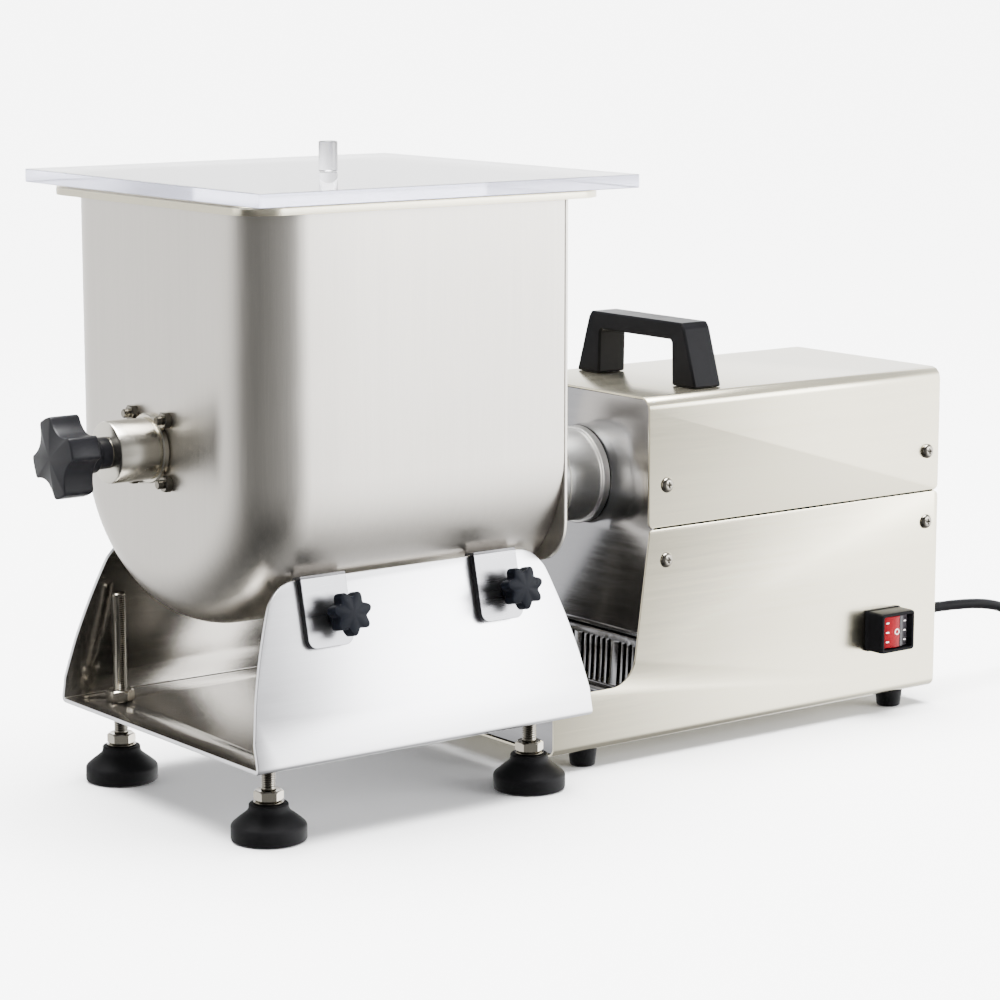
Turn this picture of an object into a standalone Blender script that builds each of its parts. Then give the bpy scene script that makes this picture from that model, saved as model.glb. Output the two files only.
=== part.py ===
"""Motor-driven countertop meat mixer, modelled in metres with +Z up.

+X runs along the paddle shaft from the shaft knob to the motor, -Y is the side with the
rocker switch. The origin is on the tabletop, under the middle of the machine.
"""
import math

import bmesh
import bpy
from mathutils import Matrix, Vector

MM = 0.001
GAP = 0.3                       # clearance between touching pieces, mm

# ---- driving dimensions, mm ----------------------------------------------------------
SHEET = 1.5                     # stainless sheet of the tank and the motor covers

TANK_X0, TANK_X1 = -291.0, -43.3
TANK_R = 121.0                  # half width
BOWL_Z, BOWL_DEPTH = 236.0, 109.0   # where the oval bottom starts, and how deep it is
SHAFT_Z = 248.0                 # paddle shaft
TANK_TOP = 413.3
END_FILLET = 45.0
BOSS_X0 = -326.0                # free end of the bearing housing

RIM_X0, RIM_X1, RIM_Y = -297.0, -10.0, 130.0
RIM_LIP = 6.0

LID_X0, LID_X1, LID_Y, LID_T = -300.5, -0.7, 148.3, 9.0
LID_Z = 414.0
PEG_R, PEG_H = 6.4, 20.2

STAND_X0, STAND_X1, STAND_Y = -293.0, -22.0, 128.0
STAND_Z, STAND_T = 53.0, 3.0
STAND_TOP = 170.0
WALL_LEAN = math.radians(13.0)
FOOT_X = (-265.0, -52.0)
FOOT_Y = 94.5
BRACKET_X, BRACKET_W = (-228.6, -90.3), 35.0
BRACKET_OFF, BRACKET_T = 2.2, 3.0   # how far the tabs stand off the wall, and their thickness
CLAMP_X = (-221.5, -82.3)
CLAMP_Z = 145.0

BOX_X0, BOX_X1, BOX_Y = 62.7, 348.0, 83.7
BOX_Z0, BOX_SEAM, BOX_TOP = 13.1, 166.4, 260.2
BASE_X0, BASE_TOP = -22.0, 56.3
DRIVE_Z = 195.5                 # motor output and mixer input shaft
PANEL_X = 67.0                  # outer face of the recessed front panel
RUBBER_X = (17.0, 317.0)
RUBBER_Y = 67.0

GEAR_MODULE = 2.5
DRIVEN_TEETH, PINION_TEETH = 31, 11
OUTPUT_TEETH, ROTOR_TEETH = 34, 10
ROTOR_Z = DRIVE_Z - GEAR_MODULE * (OUTPUT_TEETH + ROTOR_TEETH) / 2

HANDLE_X0, HANDLE_D = 117.5, 25.0
SWITCH_X, SWITCH_Z = 292.0, 65.8
CORD_R = 4.0
CORD_EXIT = (368.0, -50.0, 65.0)
COIL_CENTRE, COIL_R, COIL_TURNS_HIGH = (540.0, -75.0), 42.0, 3


# ---- helpers --------------------------------------------------------------------------
def clear_scene():
    for obj in list(bpy.data.objects):
        bpy.data.objects.remove(obj, do_unlink=True)


def material(name, color, roughness, metallic=0.0):
    mat = bpy.data.materials.new(name)
    mat.use_nodes = True
    shader = mat.node_tree.nodes["Principled BSDF"]
    shader.inputs["Base Color"].default_value = (*color, 1.0)
    shader.inputs["Roughness"].default_value = roughness
    shader.inputs["Metallic"].default_value = metallic
    return mat


def place(name, bm, mat, smooth=True):
    """Turn a bmesh in mm into a named object in metres with one material."""
    bmesh.ops.scale(bm, vec=(MM, MM, MM), verts=bm.verts)
    bmesh.ops.recalc_face_normals(bm, faces=bm.faces)
    mesh = bpy.data.meshes.new(name)
    bm.to_mesh(mesh)
    bm.free()
    mesh.materials.append(mat)
    if smooth:
        mesh.shade_smooth()
        mesh.set_sharp_from_angle(angle=math.radians(35))
    obj = bpy.data.objects.new(name, mesh)
    bpy.context.scene.collection.objects.link(obj)
    return obj


def loft(rings, closed_path=False):
    """Skin through rings of equal length; the ends are capped unless the path closes."""
    bm = bmesh.new()
    rows = [[bm.verts.new(p) for p in ring] for ring in rings]
    count = len(rows[0])
    pairs = list(zip(rows, rows[1:]))
    if closed_path:
        pairs.append((rows[-1], rows[0]))
    for low, high in pairs:
        for i in range(count):
            j = (i + 1) % count
            bm.faces.new((low[i], low[j], high[j], high[i]))
    if not closed_path:
        bm.faces.new(list(reversed(rows[0])))
        bm.faces.new(rows[-1])
    return bm


def rounded_rect(x0, x1, y0, y1, radius, steps=5, radius_x0=None):
    """Corner-rounded rectangle as (x, y) points; the x0 corners may have their own radius."""
    points = []
    far = radius if radius_x0 is None else radius_x0
    corners = ((x1, y1, 0, radius), (x0, y1, 90, far), (x0, y0, 180, far), (x1, y0, 270, radius))
    for cx, cy, start, radius in corners:
        mx = cx - radius if cx == x1 else cx + radius
        my = cy - radius if cy == y1 else cy + radius
        for k in range(steps + 1):
            a = math.radians(start + 90 * k / steps)
            points.append((mx + radius * math.cos(a), my + radius * math.sin(a)))
    return points


def turned(name, profile, origin, axis, mat, segments=32):
    """Revolve a closed (radius, height) outline about an axis; radius 0 closes on it."""
    bm = bmesh.new()
    rows = []
    for r, h in profile:
        if r == 0:
            rows.append([bm.verts.new((0, 0, h))])
        else:
            rows.append([bm.verts.new((r * math.cos(a), r * math.sin(a), h))
                         for a in (2 * math.pi * k / segments for k in range(segments))])
    for low, high in zip(rows, rows[1:] + rows[:1]):
        if len(low) == 1 and len(high) == 1:
            continue
        for i in range(segments):
            j = (i + 1) % segments
            ring = [low[i % len(low)], low[j % len(low)], high[j % len(high)], high[i % len(high)]]
            face = [v for n, v in enumerate(ring) if v not in ring[:n]]
            bm.faces.new(face)
    aim(bm, origin, axis)
    return place(name, bm, mat)


def hex_ring(flats, height, count=24):
    """Hexagon across the given flats, as a ring of count points."""
    ring = []
    for k in range(count):
        a = 2 * math.pi * k / count
        r = flats / 2 / math.cos((a + math.pi / 6) % (math.pi / 3) - math.pi / 6)
        ring.append((r * math.cos(a), r * math.sin(a), height))
    return ring


def round_ring(radius, height, count=24):
    return [(radius * math.cos(a), radius * math.sin(a), height)
            for a in (2 * math.pi * k / count for k in range(count))]


def fastener(name, rings, origin, axis, mat, hollow=False):
    """Loft round and hexagonal rings into a stud, bolt or nut along axis."""
    bm = loft(rings, closed_path=hollow)
    aim(bm, origin, axis)
    return place(name, bm, mat)


def aim(bm, origin, axis):
    """Turn a bmesh built along +Z to point along axis, and move it to origin."""
    turn = Vector((0, 0, 1)).rotation_difference(Vector(axis)).to_matrix().to_4x4()
    bmesh.ops.transform(bm, matrix=Matrix.Translation(origin) @ turn, verts=bm.verts)


def extrude_y(name, outline, y0, y1, mat):
    """Extrude an (x, z) outline along Y."""
    return place(name, loft([[(x, y, z) for x, z in outline] for y in (y0, y1)]), mat)


def cut(obj, tool_bm, name, operation="DIFFERENCE"):
    """Cut a bmesh in mm out of an object, or unite it, with a Boolean modifier."""
    tool = place(name, tool_bm, obj.data.materials[0], smooth=False)
    tool.hide_render = True
    tool.display_type = "WIRE"
    modifier = obj.modifiers.new(name, "BOOLEAN")
    modifier.object = tool
    modifier.operation = operation


def rod_bm(radius, low, high, origin, axis, segments=32):
    """Closed cylinder from low to high along axis."""
    ring = [(radius * math.cos(a), radius * math.sin(a))
            for a in (2 * math.pi * k / segments for k in range(segments))]
    bm = loft([[(x, y, h) for x, y in ring] for h in (low, high)])
    aim(bm, origin, axis)
    return bm


def arc(cx, cy, radius, start, end, steps):
    """Points of an arc, angles in degrees, both ends included."""
    return [(cx + radius * math.cos(math.radians(start + (end - start) * k / steps)),
             cy + radius * math.sin(math.radians(start + (end - start) * k / steps)))
            for k in range(steps + 1)]


def sheet_outline(path, thickness):
    """Closed outline of a bent sheet whose outer face follows path, thickness to its left."""
    inner = []
    for i, point in enumerate(path):
        before = Vector(path[max(i - 1, 0)])
        after = Vector(path[min(i + 1, len(path) - 1)])
        here = Vector(point)
        d1 = (here - before).normalized() if i else (after - here).normalized()
        d2 = (after - here).normalized() if i < len(path) - 1 else d1
        n1, n2 = Vector((-d1.y, d1.x)), Vector((-d2.y, d2.x))
        normal = (n1 + n2).normalized()
        inner.append(tuple(here + normal * thickness / max(normal.dot(n1), 0.5)))
    return list(path) + inner[::-1]


# ---- tank and lid ---------------------------------------------------------------------
def u_profile(inset, top, steps=24):
    """U-shaped cross-section, from the +Y rim round the oval bottom to the -Y rim."""
    half, depth = TANK_R - inset, BOWL_DEPTH - inset
    bottom = [(half * y, BOWL_Z + depth * z) for y, z in arc(0, 0, 1, 0, -180, steps)]
    return [(half, top)] + bottom + [(-half, top)]


def tank_stations(inset, x0, x1):
    """Sections of the tank from the rounded knob end to the open motor end, as (x, inset)."""
    stations = []
    fillet = END_FILLET - inset
    for k in range(7):
        a = math.pi / 2 * k / 6
        stations.append((x0 + fillet * (1 - math.cos(a)), inset + fillet * (1 - math.sin(a))))
    stations.append((x1, inset))
    return stations


def make_tank(steel):
    """One-piece tub: a U-shaped trough with a filleted end wall at the knob end."""
    bm = bmesh.new()

    def skin(inset, x0, x1):
        rows = []
        for x, drawn_in in tank_stations(inset, x0, x1):
            rows.append([bm.verts.new((x, y, z)) for y, z in u_profile(drawn_in, TANK_TOP)])
        for low, high in zip(rows, rows[1:]):
            for i in range(len(low) - 1):
                bm.faces.new((low[i], low[i + 1], high[i + 1], high[i]))
        bm.faces.new(rows[0])
        return rows

    outer = skin(0.0, TANK_X0, TANK_X1)
    inner = skin(SHEET, TANK_X0 + SHEET, TANK_X1)
    for o, n in zip(outer, outer[1:]):
        k = outer.index(o)
        for side in (0, -1):
            bm.faces.new((o[side], n[side], inner[k + 1][side], inner[k][side]))
    bm.faces.new((outer[0][0], inner[0][0], inner[0][-1], outer[0][-1]))
    last_out, last_in = outer[-1], inner[-1]
    for i in range(len(last_out) - 1):
        bm.faces.new((last_out[i], last_out[i + 1], last_in[i + 1], last_in[i]))
    tank = place("tank_shell", bm, steel)
    cut(tank, rod_bm(11.0, -60, 60, (TANK_X0, 0, SHAFT_Z), (1, 0, 0)), "tank_shaft_hole")


def make_tank_end(steel):
    """Flat motor-end wall of the tank, wider than the oval bottom at its lower corners."""
    low = 158.5
    corner = 31.0
    outline = [(TANK_R, TANK_TOP), (-TANK_R, TANK_TOP)]
    outline += arc(-TANK_R + corner, low + corner, corner, 180, 270, 6)
    outline += [(y, BOWL_Z - BOWL_DEPTH * math.sqrt(1 - (y / TANK_R) ** 2)) for y in range(-84, 85, 14)]
    outline += arc(TANK_R - corner, low + corner, corner, 270, 360, 6)
    x0 = TANK_X1 + GAP
    bm = loft([[(x, y, z) for y, z in outline] for x in (x0, x0 + 3.0)])
    plate = place("tank_end_plate", bm, steel)
    cut(plate, rod_bm(10.0, -60, 60, (TANK_X1, 0, SHAFT_Z), (1, 0, 0)), "end_plate_shaft_hole")


def make_rim(steel):
    """Folded flange around the tank mouth, with a turned-down lip."""
    top = TANK_TOP
    inner = (TANK_X0 - GAP, TANK_X1 + GAP + 3.0 + GAP, TANK_R + GAP)
    wide = (RIM_X0, RIM_X1, RIM_Y)

    def ring(box, radius, z, radius_x0=None):
        return [(x, y, z) for x, y in rounded_rect(box[0], box[1], -box[2], box[2], radius, 6, radius_x0)]

    lip_inside = (wide[0] + SHEET, wide[1] - SHEET, wide[2] - SHEET)
    rings = [ring(wide, 26.0, top - RIM_LIP), ring(wide, 26.0, top), ring(inner, 0.2, top, END_FILLET + GAP),
             ring(inner, 0.2, top - SHEET, END_FILLET + GAP), ring(lip_inside, 24.5, top - SHEET),
             ring(lip_inside, 24.5, top - RIM_LIP)]
    place("tank_rim", loft(rings, closed_path=True), steel)


def make_lid(clear):
    panel = [(x, y) for x, y in rounded_rect(LID_X0, LID_X1, -LID_Y, LID_Y, 2.0, 3)]
    place("lid_panel", loft([[(x, y, z) for x, y in panel] for z in (LID_Z, LID_Z + LID_T)]), clear)
    base = LID_Z + LID_T + GAP
    turned("lid_peg", [(0, 0), (PEG_R, 0), (PEG_R, PEG_H - 1), (PEG_R - 1, PEG_H), (0, PEG_H)],
           ((LID_X0 + LID_X1) / 2, 0, base), (0, 0, 1), clear)


# ---- shaft, paddles and gears -----------------------------------------------------------
def gear_bm(teeth, x0, x1, axis_z, phase, bore):
    """Spur gear along X with straight-flanked teeth and a round bore."""
    pitch_r = GEAR_MODULE * teeth / 2
    root, tip = pitch_r - 1.35 * GEAR_MODULE, pitch_r + 0.9 * GEAR_MODULE
    step = 2 * math.pi / teeth
    outline, hole = [], []
    for k in range(teeth):
        centre = phase + k * step
        for radius, offset in ((root, -0.32), (tip, -0.12), (tip, 0.12), (root, 0.32)):
            a = centre + offset * step
            outline.append((radius * math.cos(a), axis_z + radius * math.sin(a)))
            hole.append((bore * math.cos(a), axis_z + bore * math.sin(a)))
    rings = [[(x, y, z) for y, z in loop]
             for loop, x in ((outline, x0), (outline, x1), (hole, x1), (hole, x0))]
    return loft(rings, closed_path=True)


def make_shaft(steel, black, gear_steel):
    """Paddle shaft, its two paddles, the star knob and the driven gear."""
    turned("paddle_shaft", [(0, 0), (8, 0), (8, 316), (0, 316)],
           (BOSS_X0, 0, SHAFT_Z), (1, 0, 0), steel, 24)
    for name, x, up in (("paddle_front", -220.0, 1), ("paddle_rear", -100.0, -1)):
        make_paddle(name, x, up, steel)
    place("driven_gear", gear_bm(DRIVEN_TEETH, -24.0, -12.0, SHAFT_Z, -math.pi / 2, 8 + GAP), gear_steel)
    make_star_knob(black)


def make_paddle(name, x, side, steel):
    """Flat H-shaped paddle welded along one side of the shaft."""
    arm, blade, reach_in, reach_out = 11.0, 38.0, 72.0, 98.0
    corners = [(arm, reach_in), (blade, reach_in), (blade, reach_out)]
    outline = corners + [(-px, pz) for px, pz in reversed(corners)]
    outline += [(-px, -pz) for px, pz in outline]
    points = [(x + px, SHAFT_Z + pz) for px, pz in outline]
    near, far = 8 + GAP, 12 + GAP
    y0, y1 = (near, far) if side > 0 else (-far, -near)
    extrude_y(name, points, y0, y1, steel)


def star_outline(radius, lobes, depth, phase, steps):
    """Smooth star: the radius swings between lobe tips and valleys."""
    points = []
    for k in range(steps):
        a = 2 * math.pi * k / steps
        wave = math.cos(lobes * (a - phase))
        r = radius - depth * (0.5 - 0.5 * wave) ** 1.3
        points.append((r * math.cos(a), r * math.sin(a)))
    return points


def star_knob_bm(radius, lobes, depth, phase, steps, heights, neck):
    """Star knob along +Z: neck rings first, then the star body with a domed face."""
    star = star_outline(radius, lobes, depth, phase, steps)
    turns = [2 * math.pi * k / steps for k in range(steps)]
    rings = [[(r * math.cos(a), r * math.sin(a), h) for a in turns] for r, h in neck]
    z0, z1 = heights
    for scale, h in ((0.96, z0), (1.0, z0 + 1.5), (1.0, z1 - 2.0), (0.95, z1), (0.6, z1 + 1.6), (0.2, z1 + 2.2)):
        rings.append([(x * scale, y * scale, h) for x, y in star])
    return loft(rings)


def make_star_knob(black):
    """Four-lobed knob on the free end of the paddle shaft."""
    tip = 368.0
    shaft_end = -BOSS_X0 + GAP
    neck = [(10.5, 0), (10.5, 6), (12.0, 9), (12.0, 17.5)]
    bm = star_knob_bm(26.5, 4, 8.0, math.radians(20), 32, (18.0, tip - shaft_end - 2.2), neck)
    aim(bm, (-shaft_end, 0, SHAFT_Z), (-1, 0, 0))
    place("shaft_knob", bm, black)


def make_bearing(steel, plated):
    """Turned bearing housing, the flange inside the tank and four through bolts."""
    reach = TANK_X0 - GAP - BOSS_X0
    turned("bearing_housing", [(8.1, 0), (20.5, 0), (20.5, reach - 4.7), (23, reach - 4.7), (23, reach), (8.1, reach)],
           (BOSS_X0, 0, SHAFT_Z), (1, 0, 0), steel, 40)
    inside = TANK_X0 + SHEET + GAP
    turned("housing_flange", [(8.1 + GAP, 0), (38, 0), (38, 3), (8.1 + GAP, 3)],
           (inside, 0, SHAFT_Z), (1, 0, 0), steel, 40)
    for k in range(4):
        a = math.pi / 4 + k * math.pi / 2
        y, z = 29.7 * math.cos(a), SHAFT_Z + 29.7 * math.sin(a)
        rings = [round_ring(2.6, 0), round_ring(3.0, 0.5), round_ring(3.0, 4), hex_ring(10, 4), hex_ring(10, 9.7)]
        fastener("housing_bolt_%d" % (k + 1), rings, (TANK_X0 - 10.0, y, z), (1, 0, 0), plated)


def make_gear_case(steel, gear_steel):
    """Drive housing behind the tank: input pinion below, gear on the paddle shaft above."""
    x0 = TANK_X1 + GAP + 3.0 + GAP
    x1 = 0.0
    outline = arc(0, SHAFT_Z + 2, 54, 0, 180, 12) + arc(0, DRIVE_Z, 40, 180, 360, 12)
    inner = arc(0, SHAFT_Z + 2, 51, 0, 180, 12) + arc(0, DRIVE_Z, 37, 180, 360, 12)

    def ring(loop, x):
        return [(x, y, z) for y, z in loop]

    case = place("gear_case", loft([ring(outline, x0), ring(outline, x1)]), steel)
    cavity = loft([ring(inner, x0 - 5), ring(inner, x1 - 2.5)])
    cut(case, cavity, "gear_case_cavity")
    cut(case, rod_bm(10 + GAP, -40, 40, (x1, 0, DRIVE_Z), (1, 0, 0)), "gear_case_input_hole")
    turned("adapter_tube", [(24.5, 0), (27.7, 0), (27.7, 58), (24.5, 58)],
           (x1 + GAP, 0, DRIVE_Z), (1, 0, 0), steel, 40)
    step = 2 * math.pi / PINION_TEETH
    phase = math.pi / 2 + step / 2
    place("drive_pinion", gear_bm(PINION_TEETH, -24.0, -12.0, DRIVE_Z, phase, 8 + GAP), gear_steel)
    turned("input_shaft", [(0, 0), (8, 0), (8, 14), (10, 14), (10, 84), (0, 84)],
           (-24.0, 0, DRIVE_Z), (1, 0, 0), gear_steel, 24)


# ---- stand, brackets, clamps and feet -----------------------------------------------------
def wall_y(z):
    """Outer face of the leaning stand wall at height z."""
    return STAND_Y - (z - STAND_Z) * math.tan(WALL_LEAN)


def make_stand(steel):
    """One folded sheet: a flat base and two trapezoid walls leaning inwards."""
    top_y = wall_y(STAND_TOP)
    bend = 3.0
    path = [(top_y, STAND_TOP), (wall_y(STAND_Z + bend), STAND_Z + bend), (STAND_Y - bend, STAND_Z)]
    path += [(-y, z) for y, z in reversed(path)]
    outline = sheet_outline([(-y, z) for y, z in path], STAND_T)
    stand = place("stand", loft([[(x, y, z) for y, z in outline] for x in (STAND_X0, STAND_X1)]), steel)
    for name, sign, x_end in (("front", 1, STAND_X0), ("rear", -1, STAND_X1)):
        edge = [(0, 72), (3, 88), (6.5, 104), (13.5, 128), (22.5, 153), (27, 160.5), (33, 166.3), (40, 169.4)]
        loop = [(-20, 72)] + edge + [(46, STAND_TOP + 20), (-20, STAND_TOP + 20)]
        bm = loft([[(x_end + sign * x, y, z) for x, z in loop] for y in (-STAND_Y - 20, STAND_Y + 20)])
        cut(stand, bm, "stand_trim_" + name)
    for i, x in enumerate(FOOT_X):
        for j, y in enumerate((-FOOT_Y, FOOT_Y)):
            cut(stand, rod_bm(5.0 + GAP, -20, 20, (x, y, STAND_Z), (0, 0, 1), 24), "stand_hole_%d%d" % (i, j))


def make_brackets(steel):
    """Tabs that hang from the tank over the outside of the stand walls."""
    along = Vector((math.sin(WALL_LEAN), -math.cos(WALL_LEAN)))
    out = Vector((math.cos(WALL_LEAN), math.sin(WALL_LEAN)))
    inner = Vector((wall_y(STAND_TOP), STAND_TOP)) + out * BRACKET_OFF
    corners = [inner - along * 6.0, inner + along * 45.5]
    corners += [corners[1] + out * BRACKET_T, corners[0] + out * BRACKET_T]
    number = 0
    for x in BRACKET_X:
        for side in (-1, 1):
            number += 1
            rings = [[(xx, side * y, z) for y, z in corners] for xx in (x - BRACKET_W / 2, x + BRACKET_W / 2)]
            place("tank_bracket_%d" % number, loft(rings), steel)


def make_clamps(black):
    """Small seven-lobed knobs that clamp each bracket to the wall."""
    number = 0
    for x in CLAMP_X:
        for side in (-1, 1):
            number += 1
            axis = Vector((0, side * math.cos(WALL_LEAN), math.sin(WALL_LEAN)))
            foot = Vector((x, side * wall_y(CLAMP_Z), CLAMP_Z)) + axis * (BRACKET_OFF + BRACKET_T + GAP)
            neck = [(7.0, 0), (8.5, 2), (8.5, 8)]
            bm = star_knob_bm(14.8, 7, 3.6, 0.2, 28, (9.0, 19.0), neck)
            aim(bm, foot, axis)
            place("clamp_knob_%d" % number, bm, black)


def make_feet(black, plated):
    """Levelling feet: bell pad, threaded stud with a fixed hexagon, and a lock nut."""
    number = 0
    for x in FOOT_X:
        for y in (-FOOT_Y, FOOT_Y):
            number += 1
            turned("foot_pad_%d" % number,
                   [(0, 0), (24, 0), (25, 1), (25, 9.5), (24, 11), (13, 19.5), (13, 24.5), (0, 24.5)],
                   (x, y, 0), (0, 0, 1), black, 40)
            stud = [round_ring(10.2, 0), round_ring(10.2, 1), hex_ring(17, 1), hex_ring(17, 8.5),
                    round_ring(5, 8.5), round_ring(5, 107), round_ring(4.2, 108)]
            fastener("foot_stud_%d" % number, stud, (x, y, 24.5 + GAP), (0, 0, 1), plated)
            nut = [hex_ring(17, 0), hex_ring(17, 8), round_ring(5 + GAP, 8), round_ring(5 + GAP, 0)]
            fastener("lock_nut_%d" % number, nut, (x, y, STAND_Z + STAND_T + GAP), (0, 0, 1), plated, hollow=True)


# ---- motor unit ---------------------------------------------------------------------------
def cover_path(bottom, top, radius, upside):
    """Outer face of a U-folded cover in the YZ plane; upside opens downwards."""
    if upside:
        return ([(BOX_Y, bottom)] + arc(BOX_Y - radius, top - radius, radius, 0, 90, 5)
                + arc(-BOX_Y + radius, top - radius, radius, 90, 180, 5) + [(-BOX_Y, bottom)])
    return ([(-BOX_Y, top)] + arc(-BOX_Y + radius, bottom + radius, radius, 180, 270, 5)
            + arc(BOX_Y - radius, bottom + radius, radius, 270, 360, 5) + [(BOX_Y, top)])


def make_covers(steel):
    """Upper inverted-U cover, and lower U cover with its low forward tongue."""
    upper = sheet_outline(cover_path(BOX_SEAM + 0.6, BOX_TOP, 9.0, True), SHEET)
    place("upper_cover", loft([[(x, y, z) for y, z in upper] for x in (BOX_X0, BOX_X1)]), steel)
    lower_outline = sheet_outline(cover_path(BOX_Z0, BOX_SEAM - 0.6, 7.0, False), SHEET)
    lower = place("lower_cover", loft([[(x, y, z) for y, z in lower_outline] for x in (BASE_X0, BOX_X1)]), steel)
    notch = [(BASE_X0 - 20, BASE_TOP), (28, BASE_TOP)] + arc(30, BASE_TOP + 22, 22, 275, 350, 6)
    notch += [(BOX_X0 + 1.0, BOX_SEAM - 5), (BOX_X0 + 1.0, BOX_SEAM + 20), (BASE_X0 - 20, BOX_SEAM + 20)]
    cut(lower, loft([[(x, y, z) for x, z in notch] for y in (-BOX_Y - 20, BOX_Y + 20)]), "cover_notch")


def make_panels(steel):
    """Recessed front sheet that runs down, forward over the base and closes its front."""
    inset = SHEET + GAP
    half = BOX_Y - inset
    path = [(PANEL_X, BOX_TOP - inset - 1), (PANEL_X, 158), (58.0, 90)]
    path += arc(47, 60, 8, 0, -90, 4)
    path += [(BASE_X0 + 2.0, 52.0), (BASE_X0 + 0.5, 50.5), (BASE_X0 + 0.5, BOX_Z0 + inset + 1)]
    front = extrude_y("front_panel", sheet_outline(path, SHEET), -half + 6, half - 6, steel)
    for group in (-68, -32, 10, 52):
        for k in range(4 if group == -68 else 6):
            y = group + (k - (1.5 if group == -68 else 2.5)) * 6.1
            slot = [(y - 1.7, 57), (y + 1.7, 57), (y + 1.7, 82), (y - 1.7, 82)]
            cut(front, loft([[(x, py, pz) for py, pz in slot] for x in (30, 70)]), "vent_slot_%d_%d" % (group, k))
    cut(front, rod_bm(13.0, -40, 40, (PANEL_X, 0, DRIVE_Z), (1, 0, 0)), "panel_shaft_hole")
    low, high = BOX_Z0 + inset + 1, BOX_TOP - inset - 1
    outline = rounded_rect(-half, half, low, high, 8.0)
    place("rear_panel", loft([[(x, y, z) for y, z in outline] for x in (BOX_X1 - 4.0, BOX_X1 - 2.5)]), steel)
    turned("neck_tube", [(28, 0), (33, 0), (33, 40), (35.5, 40), (35.5, 43.2), (28, 43.2)],
           (PANEL_X - 43.2 - GAP, 0, DRIVE_Z), (1, 0, 0), steel, 48)


def make_handle(black):
    """Bridge handle across the front of the upper cover."""
    base_z, top_z = BOX_TOP + GAP, 306.5
    outer = [(68, base_z), (54.5, top_z - 4), (51.5, top_z)]
    inner = [(42, base_z), (41, 293.5)]
    loop = outer + [(-y, z) for y, z in reversed(outer)]
    loop += [(-y, z) for y, z in inner] + [(y, z) for y, z in reversed(inner)]
    x0, x1 = HANDLE_X0, HANDLE_X0 + HANDLE_D
    handle = place("carry_handle", loft([[(x, y, z) for y, z in loop] for x in (x0, x1)]), black)
    bevel = handle.modifiers.new("edges", "BEVEL")
    bevel.width = 2.0 * MM
    bevel.segments = 2
    bevel.limit_method = "ANGLE"


def make_switch(black, red):
    """Deep switch frame on the side, and its rocker about an upright axis."""
    y0, y1 = -BOX_Y - GAP, -BOX_Y - 18.6
    frame_out = rounded_rect(SWITCH_X - 17, SWITCH_X + 17, SWITCH_Z - 15.2, SWITCH_Z + 15.2, 2.0, 2)
    frame_in = rounded_rect(SWITCH_X - 14.3, SWITCH_X + 14.3, SWITCH_Z - 12.6, SWITCH_Z + 12.6, 1.0, 2)
    floor = y0 - 3.0
    bezel = place("switch_frame", loft([[(x, y, z) for x, z in frame_out] for y in (y0, y1)]), black)
    cut(bezel, loft([[(x, y, z) for x, z in frame_in] for y in (floor, y1 - 5)]), "switch_cavity")
    outline = [(13.2, 3.0), (-13.2, 3.0), (-13.2, -2.5), (-6.0, -4.6), (0, -5.2), (6.0, -4.6), (13.2, -2.5)]
    pivot_y = y1 + 7.2
    rocker = loft([[(SWITCH_X + px, pivot_y + py, z) for px, py in outline]
                   for z in (SWITCH_Z - 12.0, SWITCH_Z + 12.0)])
    place("switch_rocker", rocker, red)


def make_motor(gear_steel, dark):
    """Motor inside the box: stator, rotor with pinion, and the output gear with its shaft."""
    turned("stator", [(33, 0), (50, 0), (50, 110), (33, 110)], (190, 0, ROTOR_Z), (1, 0, 0), dark, 32)
    rotor = turned("rotor", [(0, 0), (6, 0), (6, 66), (31.5, 66), (31.5, 156), (8, 156), (8, 196), (0, 196)],
                   (130, 0, ROTOR_Z), (1, 0, 0), gear_steel, 32)
    step = 2 * math.pi / ROTOR_TEETH
    pinion = gear_bm(ROTOR_TEETH, 132, 148, ROTOR_Z, math.pi / 2 + step / 2, 5)
    cut(rotor, pinion, "rotor_teeth", "UNION")
    output = place("output_gear", gear_bm(OUTPUT_TEETH, 132, 148, DRIVE_Z, -math.pi / 2, 11), gear_steel)
    cut(output, rod_bm(12, 70, 156, (0, 0, DRIVE_Z), (1, 0, 0), 24), "output_shaft", "UNION")
    number = 0
    for x in RUBBER_X:
        for y in (-RUBBER_Y, RUBBER_Y):
            number += 1
            turned("rubber_foot_%d" % number, [(0, 0), (9, 0), (10.5, BOX_Z0 - GAP), (0, BOX_Z0 - GAP)],
                   (x, y, 0), (0, 0, 1), dark, 24)


# ---- supply cord ----------------------------------------------------------------------------
CORD_ROUTE = (
    (368.3, -50.0, 65.0), (385.0, -50.0, 64.8), (405.0, -50.0, 64.0), (425.0, -50.0, 62.4),
    (445.0, -49.5, 59.0), (463.0, -48.0, 53.0), (479.0, -45.0, 43.0), (490.0, -40.5, 30.0),
    (498.0, -36.0, 17.0), (504.0, -32.5, 8.5), (508.5, -30.2, 4.9), (512.0, -29.2, 4.3),
)


def smooth_route(points, spacing):
    """Points of a Catmull-Rom curve through the route, about spacing apart."""
    route = [Vector(p) for p in points]
    padded = [2 * route[0] - route[1]] + route + [2 * route[-1] - route[-2]]
    result = [route[0]]
    for p0, p1, p2, p3 in zip(padded, padded[1:], padded[2:], padded[3:]):
        steps = max(1, round((p2 - p1).length / spacing))
        for k in range(1, steps + 1):
            t = k / steps
            result.append(0.5 * ((2 * p1) + (p2 - p0) * t + (2 * p0 - 5 * p1 + 4 * p2 - p3) * t ** 2
                                 + (3 * p1 - p0 - 3 * p2 + p3) * t ** 3))
    return result


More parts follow.
